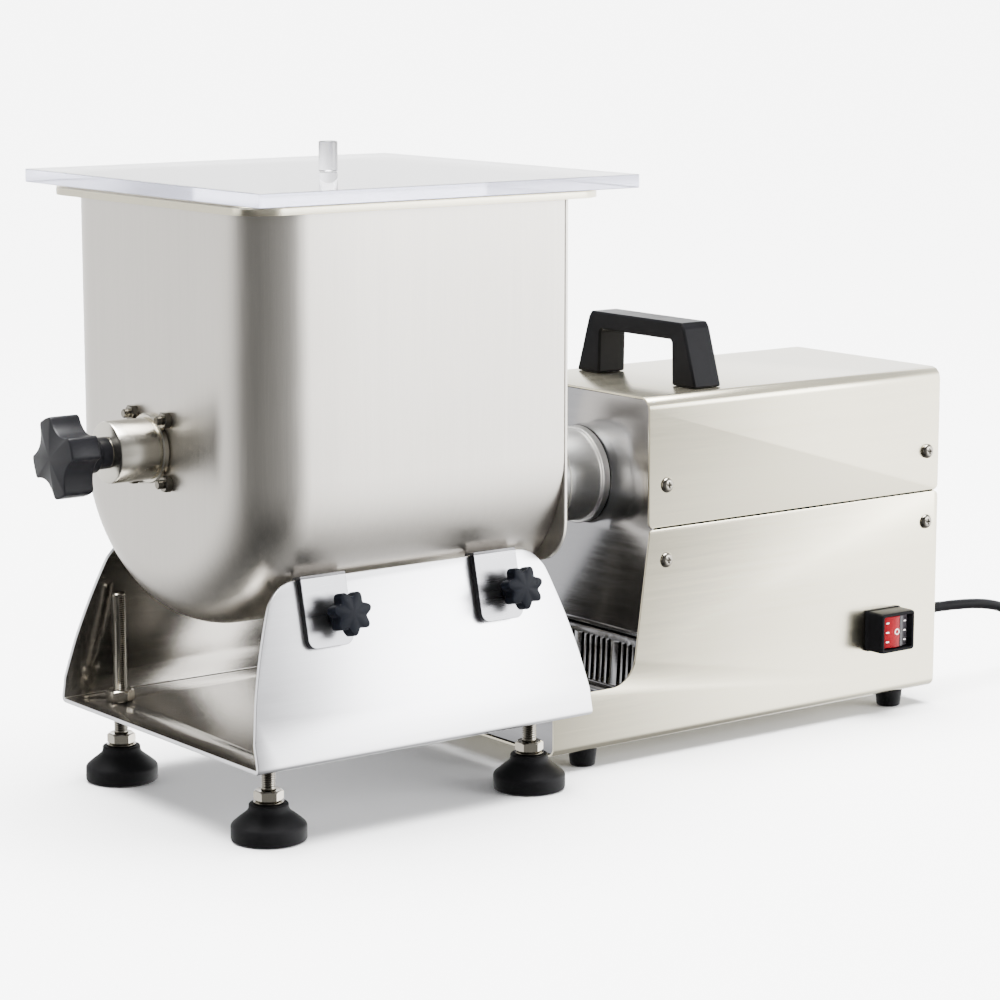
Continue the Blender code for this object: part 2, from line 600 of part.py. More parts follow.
def make_cord(black):
    """Supply lead: gland, the stretch that hangs to the table, the stored coil and the plug."""
    turned("cord_gland", [(4 + GAP, 0), (9, 0), (9, 5), (7.2, 7), (5.6, 22.2), (4 + GAP, 22.2)],
           (BOX_X1 - 2.2, CORD_EXIT[1], CORD_EXIT[2]), (1, 0, 0), black, 24)
    curve = bpy.data.curves.new("supply_cord", "CURVE")
    curve.dimensions = "3D"
    curve.bevel_depth = CORD_R * MM
    curve.bevel_resolution = 2
    curve.use_fill_caps = True
    points = smooth_route(CORD_ROUTE, 9.0)
    spline = curve.splines.new("POLY")
    spline.points.add(len(points) - 1)
    for target, point in zip(spline.points, points):
        target.co = (*(point * MM), 1.0)
    curve.materials.append(black)
    cord = bpy.data.objects.new("supply_cord", curve)
    bpy.context.scene.collection.objects.link(cord)
    thick = 2 * CORD_R
    turned("cord_coil", [(COIL_R - thick, 0), (COIL_R + thick, 0), (COIL_R + thick, COIL_TURNS_HIGH * thick),
                         (COIL_R - thick, COIL_TURNS_HIGH * thick)],
           (*COIL_CENTRE, GAP), (0, 0, 1), black, 40)
    make_plug(black)


def make_plug(black):
    """Moulded plug lying beside the coil, its blades pointing on."""
    x, y = COIL_CENTRE[0] + COIL_R + CORD_R, -112.0
    shape = rounded_rect(x - 13, x + 13, 0.4, 24.4, 6.0, 3)
    rings = [[(x + (px - x) * s, yy, 12.4 + (pz - 12.4) * s) for px, pz in shape]
             for s, yy in ((0.45, y), (0.75, y - 12), (1.0, y - 20), (1.0, y - 38))]
    place("plug", loft(rings), black)


def main():
    clear_scene()
    steel = material("brushed_stainless", (0.62, 0.61, 0.58), 0.32, 1.0)
    gear_steel = material("machined_steel", (0.45, 0.45, 0.46), 0.35, 1.0)
    plated = material("plated_steel", (0.72, 0.70, 0.66), 0.22, 1.0)
    clear = material("clear_acrylic", (0.93, 0.94, 0.97), 0.05)
    black = material("black_plastic", (0.02, 0.02, 0.022), 0.4)
    red = material("red_rocker", (0.55, 0.02, 0.03), 0.25)
    rubber = material("black_rubber", (0.03, 0.03, 0.03), 0.75)
    make_tank(steel)
    make_tank_end(steel)
    make_rim(steel)
    make_lid(clear)
    make_shaft(steel, black, gear_steel)
    make_bearing(steel, plated)
    make_gear_case(steel, gear_steel)
    make_stand(steel)
    make_brackets(steel)
    make_clamps(black)
    make_feet(rubber, plated)
    make_covers(steel)
    make_panels(steel)
    make_handle(black)
    make_switch(black, red)
    make_motor(gear_steel, rubber)
    make_cord(black)


main()
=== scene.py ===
"""Looks of the motor-driven meat mixer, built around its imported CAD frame."""
import math

import bmesh
import bpy
from mathutils import Matrix, Vector


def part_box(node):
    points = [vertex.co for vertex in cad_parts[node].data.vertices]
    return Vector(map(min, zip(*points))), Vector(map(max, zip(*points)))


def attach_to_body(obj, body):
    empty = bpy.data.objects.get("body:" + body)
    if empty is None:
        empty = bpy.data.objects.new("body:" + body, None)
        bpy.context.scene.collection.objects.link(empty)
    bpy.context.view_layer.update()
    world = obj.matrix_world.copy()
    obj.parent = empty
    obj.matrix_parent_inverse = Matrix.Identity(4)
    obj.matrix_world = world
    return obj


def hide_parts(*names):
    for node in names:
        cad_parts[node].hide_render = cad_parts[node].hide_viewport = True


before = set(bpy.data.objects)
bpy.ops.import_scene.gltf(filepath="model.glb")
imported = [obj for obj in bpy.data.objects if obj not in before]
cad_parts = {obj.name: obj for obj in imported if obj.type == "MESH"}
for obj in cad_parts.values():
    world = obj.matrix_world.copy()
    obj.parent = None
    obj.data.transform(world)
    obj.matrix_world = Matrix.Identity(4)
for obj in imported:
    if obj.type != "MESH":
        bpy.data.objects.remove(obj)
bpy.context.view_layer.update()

MM = 0.001  # the frame is in metres, and the numbers here are in mm
BASE = "base"
SHEET = 1.5  # thickness of the tank and cover sheet
GAP = 0.3  # clearance between neighbouring solids of the frame
CAMERA_TURN = math.radians(-36.98)
ACRYLIC_IOR = 1.49
BUSY = (0.3, 0.7)  # where nearly all values of the noise lie
PLANES = {"xy": lambda a, b, h: (a, b, h), "xz": lambda a, b, h: (a, h, b), "yz": lambda a, b, h: (h, a, b)}


# ---- reading the frame ----
def box(node):
    """Lowest and highest corner of a CAD node, in mm."""
    low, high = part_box(node)
    return low / MM, high / MM


# ---- material nodes ----
def new_material(name, color, roughness, metallic=0.0, **inputs):
    mat = bpy.data.materials.new(name)
    mat.use_nodes = True
    shader = mat.node_tree.nodes["Principled BSDF"]
    values = {"Base Color": (*color, 1.0), "Roughness": roughness, "Metallic": metallic, **inputs}
    for key, value in values.items():
        shader.inputs[key].default_value = value
    return mat, mat.node_tree, shader


def noise(tree, scale, stretch=(1, 1, 1), detail=3.0):
    """Noise in the piece's own coordinates, stretched along an axis by a small scale."""
    coords = tree.nodes.new("ShaderNodeTexCoord")
    mapping = tree.nodes.new("ShaderNodeMapping")
    mapping.inputs["Scale"].default_value = stretch
    tex = tree.nodes.new("ShaderNodeTexNoise")
    tex.inputs["Scale"].default_value = scale
    tex.inputs["Detail"].default_value = detail
    tex.inputs["Roughness"].default_value = 0.55
    tree.links.new(coords.outputs["Object"], mapping.inputs["Vector"])
    tree.links.new(mapping.outputs["Vector"], tex.inputs["Vector"])
    return tex.outputs["Fac"]


def spread(tree, value, low, high):
    """Map a 0..1 value, clipped to its busy middle, onto low..high."""
    node = tree.nodes.new("ShaderNodeMapRange")
    node.inputs["From Min"].default_value, node.inputs["From Max"].default_value = BUSY
    node.inputs["To Min"].default_value, node.inputs["To Max"].default_value = low, high
    tree.links.new(value, node.inputs["Value"])
    return node.outputs["Result"]


def tint(tree, value, dark, light):
    """Colour between dark and light, by a 0..1 value."""
    ramp = tree.nodes.new("ShaderNodeValToRGB")
    ramp.color_ramp.elements[0].position, ramp.color_ramp.elements[1].position = BUSY
    ramp.color_ramp.elements[0].color = (*dark, 1)
    ramp.color_ramp.elements[1].color = (*light, 1)
    tree.links.new(value, ramp.inputs["Fac"])
    return ramp.outputs["Color"]


def blend_values(tree, first, second, share):
    node = tree.nodes.new("ShaderNodeMix")
    node.inputs["Factor"].default_value = share
    tree.links.new(first, node.inputs["A"])
    tree.links.new(second, node.inputs["B"])
    return node.outputs["Result"]


def bump(tree, shader, height, strength, distance):
    node = tree.nodes.new("ShaderNodeBump")
    node.inputs["Strength"].default_value = strength
    node.inputs["Distance"].default_value = distance
    tree.links.new(height, node.inputs["Height"])
    tree.links.new(node.outputs["Normal"], shader.inputs["Normal"])


def stainless(name, grain, tone, rough, relief=0.12):
    """Brushed stainless sheet: long fine scratches along the grain axis, and faint clouding."""
    mat, tree, shader = new_material(name, tone, rough[0], 1.0)
    stretch = {"X": (0.02, 1, 1), "Y": (1, 0.02, 1), "Z": (1, 1, 0.02)}[grain]
    fine = noise(tree, 1500, stretch, 2.0)
    streaks = noise(tree, 260, stretch, 3.0)
    clouds = noise(tree, 9, detail=2.0)
    mixed = blend_values(tree, blend_values(tree, fine, streaks, 0.5), clouds, 0.35)
    dark = tuple(c * 0.93 for c in tone)
    light = tuple(min(c * 1.05, 1.0) for c in tone)
    tree.links.new(tint(tree, mixed, dark, light), shader.inputs["Base Color"])
    tree.links.new(spread(tree, mixed, *rough), shader.inputs["Roughness"])
    bump(tree, shader, blend_values(tree, fine, streaks, 0.4), relief, 0.0002)
    return mat


def plastic(name, color, rough, relief=0.15, sheen=0.5):
    """Moulded plastic with a fine matt texture and slightly uneven gloss."""
    mat, tree, shader = new_material(name, color, rough, **{"Specular IOR Level": sheen})
    fine = noise(tree, 2200, detail=2.0)
    patches = noise(tree, 30)
    light = tuple(c * 1.35 + 0.001 for c in color)
    tree.links.new(tint(tree, patches, color, light), shader.inputs["Base Color"])
    tree.links.new(spread(tree, patches, rough * 0.85, rough * 1.2), shader.inputs["Roughness"])
    bump(tree, shader, fine, relief, 0.0001)
    return mat


def acrylic(name):
    """Clear acrylic sheet with a faint violet cast and a few hairline scratches."""
    mat, tree, shader = new_material(name, (0.82, 0.82, 0.85), 0.02,
                                     **{"Transmission Weight": 1.0, "IOR": ACRYLIC_IOR})
    hair = noise(tree, 500, (1, 0.03, 1), 2.0)
    tree.links.new(spread(tree, hair, 0.01, 0.05), shader.inputs["Roughness"])
    return mat


# Some tones are darker than steel's own: painted shade, in place of dark surroundings that this studio lacks.
STEEL_TANK = stainless("tank_stainless", "Z", (0.63, 0.60, 0.55), (0.28, 0.40))
STEEL_COVER = stainless("cover_stainless", "X", (0.60, 0.56, 0.435), (0.18, 0.28), 0.05)
STEEL_STAND = stainless("stand_stainless", "X", (0.78, 0.78, 0.80), (0.26, 0.34), 0.03)
# Tabs and hooks: the same steel made much darker, painted shade.
STEEL_TAB_SHADED = stainless("tab_stainless_shaded", "X", (0.27, 0.27, 0.28), (0.24, 0.34), 0.03)
# Near-black steel: painted shade in the gap behind each tab and on its edges.
TAB_GAP_SHADE = stainless("tab_painted_shade", "X", (0.05, 0.05, 0.055), (0.30, 0.40), 0.02)
# Inner faces of the stand: a darker copy of the stand steel, painted shade inside the stand.
STEEL_INSIDE_SHADED = stainless("stand_inner_shaded", "X", (0.42, 0.405, 0.38), (0.14, 0.22), 0.03)
# Front panel: darker steel, painted shade for the recess between the tank and the motor.
STEEL_PANEL_SHADED = stainless("panel_stainless_shaded", "Y", (0.30, 0.30, 0.31), (0.10, 0.20), 0.05)
STEEL_NECK = stainless("neck_stainless", "X", (0.62, 0.62, 0.61), (0.30, 0.33), 0.015)
STEEL_TURNED = stainless("turned_stainless", "X", (0.66, 0.63, 0.55), (0.18, 0.28))
PLATED = stainless("plated_fastener", "Z", (0.42, 0.39, 0.33), (0.12, 0.22), 0.05)
FASTENER = stainless("dark_fastener", "Z", (0.22, 0.205, 0.175), (0.12, 0.22), 0.05)
GEAR_STEEL = stainless("gear_steel", "Z", (0.40, 0.40, 0.41), (0.28, 0.40))
BLACK = plastic("black_knob_plastic", (0.004, 0.004, 0.005), 0.34, sheen=0.13)
CLAMP_BLACK = plastic("clamp_knob_plastic", (0.002, 0.0025, 0.004), 0.30, sheen=0.05)
HANDLE_BLACK = plastic("handle_plastic", (0.003, 0.003, 0.0035), 0.34, sheen=0.04)
RUBBER = plastic("pad_rubber", (0.003, 0.003, 0.0035), 0.60, sheen=0.10)
JACKET = plastic("cord_jacket", (0.003, 0.003, 0.0035), 0.45, sheen=0.04)
RED = plastic("rocker_red", (0.13, 0.0006, 0.004), 0.16, 0.02, sheen=0.15)
DARK_CLEAR = plastic("rocker_dark", (0.02, 0.018, 0.02), 0.16, 0.02, sheen=0.2)
MARK_WHITE = plastic("mark_white", (0.70, 0.62, 0.60), 0.35, 0.02)
INSIDE = plastic("motor_varnish", (0.02, 0.018, 0.016), 0.5, sheen=0.2)
# Flat black: painted shade behind the vents and in the front panel's seam.
SHADE_BLACK = plastic("painted_shade_black", (0.001, 0.001, 0.001), 0.9, 0.0, sheen=0.0)
CLEAR = acrylic("clear_acrylic")
EDGE = new_material("acrylic_edge", (0.80, 0.81, 0.97), 0.10,
                    **{"Transmission Weight": 0.75, "IOR": ACRYLIC_IOR})[0]


# ---- mesh helpers, all in mm ----
def place(name, bm, mat, angle):
    """Object for a bmesh in mm, smooth-shaded up to the angle."""
    mesh = bpy.data.meshes.new(name)
    bm.to_mesh(mesh)
    bm.free()
    mesh.materials.append(mat)
    mesh.shade_smooth()
    mesh.set_sharp_from_angle(angle=math.radians(angle))
    obj = bpy.data.objects.new(name, mesh)
    bpy.context.scene.collection.objects.link(obj)
    return obj


def round_edges(obj, width, angle):
    mod = obj.modifiers.new("edges", "BEVEL")
    mod.width = width * MM
    mod.segments = 2
    mod.limit_method = "ANGLE"
    mod.angle_limit = math.radians(angle)


def attach(obj, body, nodes):
    """Ride on a body and stand for one or more of its CAD nodes."""
    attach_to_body(obj, body)
    if nodes:
        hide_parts(*([nodes] if isinstance(nodes, str) else nodes))


def piece(name, bm, mat, body=BASE, nodes=(), bevel=0.0, angle=35):
    """Finish a closed bmesh in mm as a piece that rides on a body."""
    bmesh.ops.scale(bm, vec=(MM, MM, MM), verts=bm.verts)
    bmesh.ops.recalc_face_normals(bm, faces=bm.faces)
    obj = place(name, bm, mat, angle)
    if bevel:
        round_edges(obj, bevel, 40)
    attach(obj, body, nodes)
    return obj


def loft(rings, closed_path=False):
    """Skin a row of rings with equal point counts; open rows are capped, closed ones join up."""
    bm = bmesh.new()
    rows = [[bm.verts.new(p) for p in ring] for ring in rings]
    pairs = list(zip(rows, rows[1:]))
    if closed_path:
        pairs.append((rows[-1], rows[0]))
    for low, high in pairs:
        for i in range(len(low)):
            j = (i + 1) % len(low)
            bm.faces.new((low[i], low[j], high[j], high[i]))
    if not closed_path:
        bm.faces.new(list(reversed(rows[0])))
        bm.faces.new(rows[-1])
    return bm


def turn_to(axis):
    return Vector((0, 0, 1)).rotation_difference(Vector(axis)).to_matrix().to_4x4()


def aim(bm, origin, axis):
    """Move a bmesh that stands on the origin along Z to another origin and axis."""
    bmesh.ops.transform(bm, matrix=Matrix.Translation(origin) @ turn_to(axis), verts=bm.verts)
    return bm


def lathe(profile, segments):
    """Revolve a (radius, height) outline about Z; points on the axis close to one vertex."""
    bm = bmesh.new()
    rows = []
    for r, h in profile:
        count = 1 if r == 0 else segments
        rows.append([bm.verts.new((r * math.cos(a), r * math.sin(a), h))
                     for a in (2 * math.pi * k / segments for k in range(count))])
    pairs = list(zip(rows, rows[1:]))
    if profile[0][0] and profile[-1][0]:
        pairs.append((rows[-1], rows[0]))
    for low, high in pairs:
        if len(low) == 1 and len(high) == 1:
            continue
        for i in range(segments):
            j = (i + 1) % segments
            ring = [low[i % len(low)], low[j % len(low)], high[j % len(high)], high[i % len(high)]]
            bm.faces.new([v for n, v in enumerate(ring) if v not in ring[:n]])
    return bm


def arc(cx, cy, radius, start, end, steps):
    return [(cx + radius * math.cos(math.radians(start + (end - start) * k / steps)),
             cy + radius * math.sin(math.radians(start + (end - start) * k / steps)))
            for k in range(steps + 1)]


def rounded(points, radii, steps=6):
    """Polyline or outline points with their corners rounded; radius 0 keeps a corner sharp."""
    result = []
    count = len(points)
    for i, (point, radius) in enumerate(zip(points, radii)):
        here = Vector(point)
        before, after = Vector(points[i - 1]), Vector(points[(i + 1) % count])
        if radius <= 0:
            result.append(tuple(here))
            continue
        u, v = (before - here).normalized(), (after - here).normalized()
        half = u.angle(v) / 2
        reach = radius / math.tan(half)
        centre = here + (u + v).normalized() * radius / math.sin(half)
        a, b = here + u * reach - centre, here + v * reach - centre
        sweep = a.angle_signed(b)
        for k in range(steps + 1):
            turn = -sweep * k / steps
            c, s = math.cos(turn), math.sin(turn)
            result.append((centre.x + a.x * c - a.y * s, centre.y + a.x * s + a.y * c))
    return result


def rectangle(x0, x1, y0, y1, radius, steps=6):
    return rounded([(x0, y0), (x1, y0), (x1, y1), (x0, y1)], [radius] * 4, steps)


def slab(outline, low, high, plane="xy"):
    """Extrude a 2-D outline between two heights across the named plane."""
    order = PLANES[plane]
    return loft([[order(a, b, h) for a, b in outline] for h in (low, high)])


def fill(bm, loops):
    """Flat face bounded by the first loop of points, with the other loops as holes."""
    for loop in loops:
        verts = [bm.verts.new(p) for p in loop]
        for i, vert in enumerate(verts):
            bm.edges.new((vert, verts[(i + 1) % len(verts)]))
    bmesh.ops.triangle_fill(bm, use_beauty=True, use_dissolve=False, edges=bm.edges[:])
    bmesh.ops.dissolve_limit(bm, angle_limit=0.01, verts=bm.verts[:], edges=bm.edges[:])


def bent_sheet(name, loops, path, axis, mat, thickness=SHEET, nodes=(), edge=0.35, flip=False, inside=None):
    """Cut a flat blank (distance along path, distance along axis) and fold it along path.

    The first loop is the blank's outline and the others are holes. path is the outer face, with its
    bends already rounded into short steps, and flip puts the thickness on its other side. inside is
    the material of the inner face, where that differs.
    """
    bm = bmesh.new()
    fill(bm, [[(s, t, 0) for s, t in loop] for loop in loops])
    points = [Vector(p) for p in path]
    stations = [0.0]
    for a, b in zip(points, points[1:]):
        stations.append(stations[-1] + (b - a).length)
    for s in stations[1:-1]:
        geom = bm.verts[:] + bm.edges[:] + bm.faces[:]
        bmesh.ops.bisect_plane(bm, geom=geom, plane_co=(s, 0, 0), plane_no=(1, 0, 0), dist=1e-5)
    for vert in bm.verts:
        s, t = vert.co.x, vert.co.y
        k = max(0, min(len(points) - 2, sum(1 for x in stations[1:-1] if x < s - 1e-6)))
        share = (s - stations[k]) / (stations[k + 1] - stations[k])
        a, b = points[k].lerp(points[k + 1], share)
        vert.co = (t, a, b) if axis == "x" else (a, t, b)
    bmesh.ops.scale(bm, vec=(MM, MM, MM), verts=bm.verts)
    if flip:
        bmesh.ops.reverse_faces(bm, faces=bm.faces)
    obj = place(name, bm, mat, 35)
    solid = obj.modifiers.new("sheet", "SOLIDIFY")
    solid.thickness = thickness * MM
    solid.offset = -1.0
    solid.use_even_offset = True
    if inside:
        obj.data.materials.append(inside)
        solid.material_offset = 1
    if edge:
        round_edges(obj, edge, 60)
    attach(obj, BASE, nodes)


def path_length(path):
    return sum((Vector(b) - Vector(a)).length for a, b in zip(path, path[1:]))


def open_path(points, radius, steps=6):
    """Open polyline with its inner corners rounded."""
    return rounded(points, [0] + [radius] * (len(points) - 2) + [0], steps)


def plate(name, loops, low, high, plane, mat, body=BASE, nodes=(), edge=0.35):
    """Flat sheet with holes: outlines in the named plane, extruded between two heights."""
    order = PLANES[plane]
    bm = bmesh.new()
    fill(bm, [[order(a, b, low) for a, b in loop] for loop in loops])
    up = bmesh.ops.extrude_face_region(bm, geom=bm.faces[:])["geom"]
    bmesh.ops.translate(bm, vec=order(0, 0, high - low),
                        verts=[v for v in up if isinstance(v, bmesh.types.BMVert)])
    return piece(name, bm, mat, body, nodes, bevel=edge)


def circle(cx, cy, radius, steps=32):
    return arc(cx, cy, radius, 0, 360 - 360 / steps, steps - 1)


def turned(name, profile, origin, axis, mat, body=BASE, nodes=(), segments=64):
    piece(name, aim(lathe(profile, segments), origin, axis), mat, body, nodes)


def flat_ring(radius, height, steps=20):
    return [(radius * math.cos(2 * math.pi * k / steps), radius * math.sin(2 * math.pi * k / steps), height)
            for k in range(steps)]


def hex_nut(name, flats, low, high, bore, origin, axis, mat, body=BASE, nodes=(), tip=None):
    """Hexagon with chamfered corners; bored, or with a stud end of the given (radius, height)."""
    steps = 48

    def ring(limit, h):
        points = []
        for k in range(steps):
            a = 2 * math.pi * k / steps
            flat = flats / 2 / math.cos((a + math.pi / 6) % (math.pi / 3) - math.pi / 6)
            points.append((min(flat, limit) * math.cos(a), min(flat, limit) * math.sin(a), h))
        return points

    wide = flats / 2 * 1.16
    chamfer = flats / 2 * 1.07
    drop = flats * 0.07
    rings = [ring(flats * 0.49, low), ring(chamfer, low + drop * 0.6), ring(wide, low + drop),
             ring(wide, high - drop), ring(chamfer, high - drop * 0.6), ring(flats * 0.47, high)]
    if bore:
        rings += [flat_ring(bore, high - 0.4, steps), flat_ring(bore, low + 0.4, steps)]
    if tip:
        r, length = tip
        rings += [flat_ring(r, high, steps), flat_ring(r, high + length - 0.6, steps),
                  flat_ring(r - 0.6, high + length, steps)]
    piece(name, aim(loft(rings, closed_path=bool(bore)), origin, axis), mat, body, nodes, angle=28)


def threaded(radius, low, high, pitch, steps=20):
    """Rings of a screw thread: a real helix with a V profile that fades out at both ends."""
    rings = []
    count = int((high - low) / (pitch / 4))
    for j in range(count + 1):
        h = low + (high - low) * j / count
        fade = min(1.0, j / 4, (count - j) / 4)
        ring = []
        for k in range(steps):
            a = 2 * math.pi * k / steps
            phase = (h / pitch - k / steps) % 1.0
            r = radius - 0.61 * pitch * 0.75 * fade * (1 - abs(2 * phase - 1))
            ring.append((r * math.cos(a), r * math.sin(a), h))
        rings.append(ring)
    return rings


def star(radius, lobes, depth, phase, steps, power):
    """Outline with evenly spaced round lobes; a higher power narrows the notches."""
    points = []
    for k in range(steps):
        a = 2 * math.pi * k / steps
        wave = 0.5 - 0.5 * math.cos(lobes * (a - phase))
        r = radius - depth * wave ** power
        points.append((r * math.cos(a), r * math.sin(a)))
    return points


def star_knob(name, outline, neck, z0, z1, dome, round_off, origin, axis, mat, body, nodes):
    """Moulded star knob: neck rings, a rounded star body and a slightly domed face."""
    steps = len(outline)
    rings = [flat_ring(r, h, steps) for r, h in neck]
    size = max(math.hypot(*p) for p in outline)

    def scaled(inset, h):
        return [(x * (1 - inset / size), y * (1 - inset / size), h) for x, y in outline]

    for k in range(5):
        a = math.pi / 2 * k / 4
        rings.append(scaled(round_off * (1 - math.sin(a)), z0 + round_off * (1 - math.cos(a))))
    for k in range(6):
        a = math.pi / 2 * k / 5
        rings.append(scaled(round_off * (1 - math.cos(a)), z1 - round_off * (1 - math.sin(a))))
    for scale in (0.8, 0.6, 0.4, 0.2, 0.06):
        rings.append([(x * scale, y * scale, z1 + dome * (1 - (scale / 0.93) ** 2)) for x, y in outline])
    piece(name, aim(loft(rings), origin, axis), mat, body, nodes, angle=50)


# ---- camera ----
camera_data = bpy.data.cameras.new("camera")
camera_data.lens = 111.25
camera_data.sensor_width = 36.0
camera_data.clip_end = 60.0
camera = bpy.data.objects.new("camera", camera_data)
camera.location = (-1.31327, -1.73609, 0.56043)
camera.rotation_euler = (math.radians(80.16), 0.0, CAMERA_TURN)
bpy.context.scene.collection.objects.link(camera)
bpy.context.scene.camera = camera


# ---- supply cord, its coil and plug ----
CORD_D = 8.0
PLUG_X, PLUG_Z = 586.0, 12.4
COIL = Vector((540.0, -75.0, 0.0))
HANGING = (
    (368.3, -50.0, 65.0), (385.0, -50.0, 64.8), (405.0, -50.0, 64.0), (425.0, -50.0, 62.4),
    (445.0, -49.5, 59.0), (463.0, -48.0, 53.0), (479.0, -45.0, 43.0), (490.0, -40.5, 30.0),
    (498.0, -36.0, 17.0), (504.0, -32.5, 8.5), (508.5, -30.2, 4.9), (512.0, -29.2, 4.3),
)
TO_PLUG = ((593.5, -82.0, 23.0), (592.0, -94.0, 17.5), (588.5, -104.0, 13.6), (586.3, -111.0, 12.5),
           (PLUG_X, -116.0, PLUG_Z))


def smooth_route(points, spacing):
    """Points of a Catmull-Rom curve through the route, about spacing apart."""
    route = [Vector(p) for p in points]
    padded = [2 * route[0] - route[1]] + route + [2 * route[-1] - route[-2]]
    result = [route[0]]
    for p0, p1, p2, p3 in zip(padded, padded[1:], padded[2:], padded[3:]):
        steps = max(1, round((p2 - p1).length / spacing))
        for k in range(1, steps + 1):
            t = k / steps
            result.append(0.5 * ((2 * p1) + (p2 - p0) * t + (2 * p0 - 5 * p1 + 4 * p2 - p3) * t ** 2
                                 + (3 * p1 - p0 - 3 * p2 + p3) * t ** 3))
    return result


def coil_points():
    """Clockwise coil, two turns wide and three high; each strand shifts before the one below it."""
    seats = [(53.6, 4.3), (46.2, 4.3), (37.9, 4.3), (37.9, 12.5), (46.2, 12.5), (46.2, 20.7), (37.9, 20.7),
             (38.2, 28.9)]  # radius and height of each turn
    shift, spacing, start = 50, 8, 121.4
    shifts = [(0, shift)] + [(360 * (k + 1) - shift * (k + 1), 360 * (k + 1) - shift * k) for k in range(6)]
    end = shifts[-1][1]
    count = int(end / spacing)
    points = []
    for j in range(1, count + 1):
        travel = j * end / count
        r, z = seats[0]
        for k, (begin, stop) in enumerate(shifts):
            if travel > begin:
                t = min((travel - begin) / (stop - begin), 1.0)
                t = t * t * (3 - 2 * t)
                r = seats[k][0] + (seats[k + 1][0] - seats[k][0]) * t
                z = seats[k][1] + (seats[k + 1][1] - seats[k][1]) * t
        a = math.radians(start - travel)
        points.append(COIL + Vector((r * math.cos(a), r * math.sin(a), z)))
    return points


def cord_points():
    """From the gland to the table, round the coil, over its top and down to the plug."""
    points = smooth_route(HANGING, 5.0) + coil_points()
    last = points[-1]
    over = [COIL + Vector((r * math.cos(math.radians(a)), r * math.sin(math.radians(a)), z))
            for a, r, z in ((46, 39.5, 29.4), (30, 43.5, 29.6), (15, 48.5, 28.8), (2, 52.5, 26.2))]
    return points + smooth_route([last] + over + list(TO_PLUG), 5.0)[1:]


route = cord_points()
cord_curve = bpy.data.curves.new("supply_lead", "CURVE")
cord_curve.dimensions = "3D"
cord_curve.bevel_depth = CORD_D / 2 * MM
cord_curve.bevel_resolution = 5
cord_curve.use_fill_caps = True
spline = cord_curve.splines.new("POLY")
spline.points.add(len(route) - 1)
for target, point in zip(spline.points, route):
    target.co = (*(point * MM), 1.0)
spline.use_smooth = True
cord_curve.materials.append(JACKET)
lead = bpy.data.objects.new("supply_lead", cord_curve)
bpy.context.scene.collection.objects.link(lead)
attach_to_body(lead, BASE)
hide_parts("supply_cord", "cord_coil")


def make_plug():
    x, z = PLUG_X, PLUG_Z
    face_y = -133.0
    base = rectangle(-12.6, 12.6, -11.8, 11.8, 6.0, 5)
    rings = []
    for scale, y in ((0.36, -112), (0.40, -113), (0.44, -117), (0.62, -120), (0.90, -124), (1.0, -127),
                     (1.0, -132.5), (0.96, -133.4)):
        rings.append([(x + px * scale, y, z + pz * scale) for px, pz in base])
    body = piece("plug_body", loft(rings), JACKET, nodes="plug", angle=40)
    pins = []
    for k, px in enumerate((-6.4, 6.4)):
        section = rectangle(x + px - 0.75, x + px + 0.75, z - 3.2, z + 3.2, 0.4, 2)
        blade = slab(section, -149.8, face_y, "xz")
        pins.append(piece("plug_blade_%d" % (k + 1), blade, PLATED, bevel=0.3))
    earth = aim(lathe([(0, 0), (2.3, 0), (2.3, 14.5), (1.4, 16.3), (0, 16.6)], 24), (x, face_y, z + 7.5),
                (0, -1, 0))
    pins.append(piece("plug_earth_pin", earth, PLATED))
    return [body] + pins


plug_pieces = make_plug()


# ---- tank, rim and lid ----
TANK_X0, TANK_X1, TANK_R, TANK_TOP, SHAFT_Z = -291.0, -43.3, 121.0, 413.3, 248.0
BOWL_Z, BOWL_DEPTH, FILLET = 236.0, 109.0, 45.0
BOSS_X0 = -326.0
WALL_LEAN = math.radians(13.0)
STAND_Y, STAND_Z, STAND_T, STAND_TOP = 128.0, 53.0, 3.0, 170.0
BOX_X0, BOX_X1, BOX_Y, BOX_Z0, BOX_SEAM, BOX_TOP = 62.7, 348.0, 83.7, 13.1, 166.4, 260.2
FRONT_X = 67.0  # outer face of the front panel, above its bend
DRIVE_Z = 195.5
END_T = 3.0  # thickness of the plate that closes the tank's motor end
TAB_OFF, TAB_T = 2.2, 3.0  # gap between a stand wall and a tab, and the tab's thickness
CLAMP_Z = 145.0


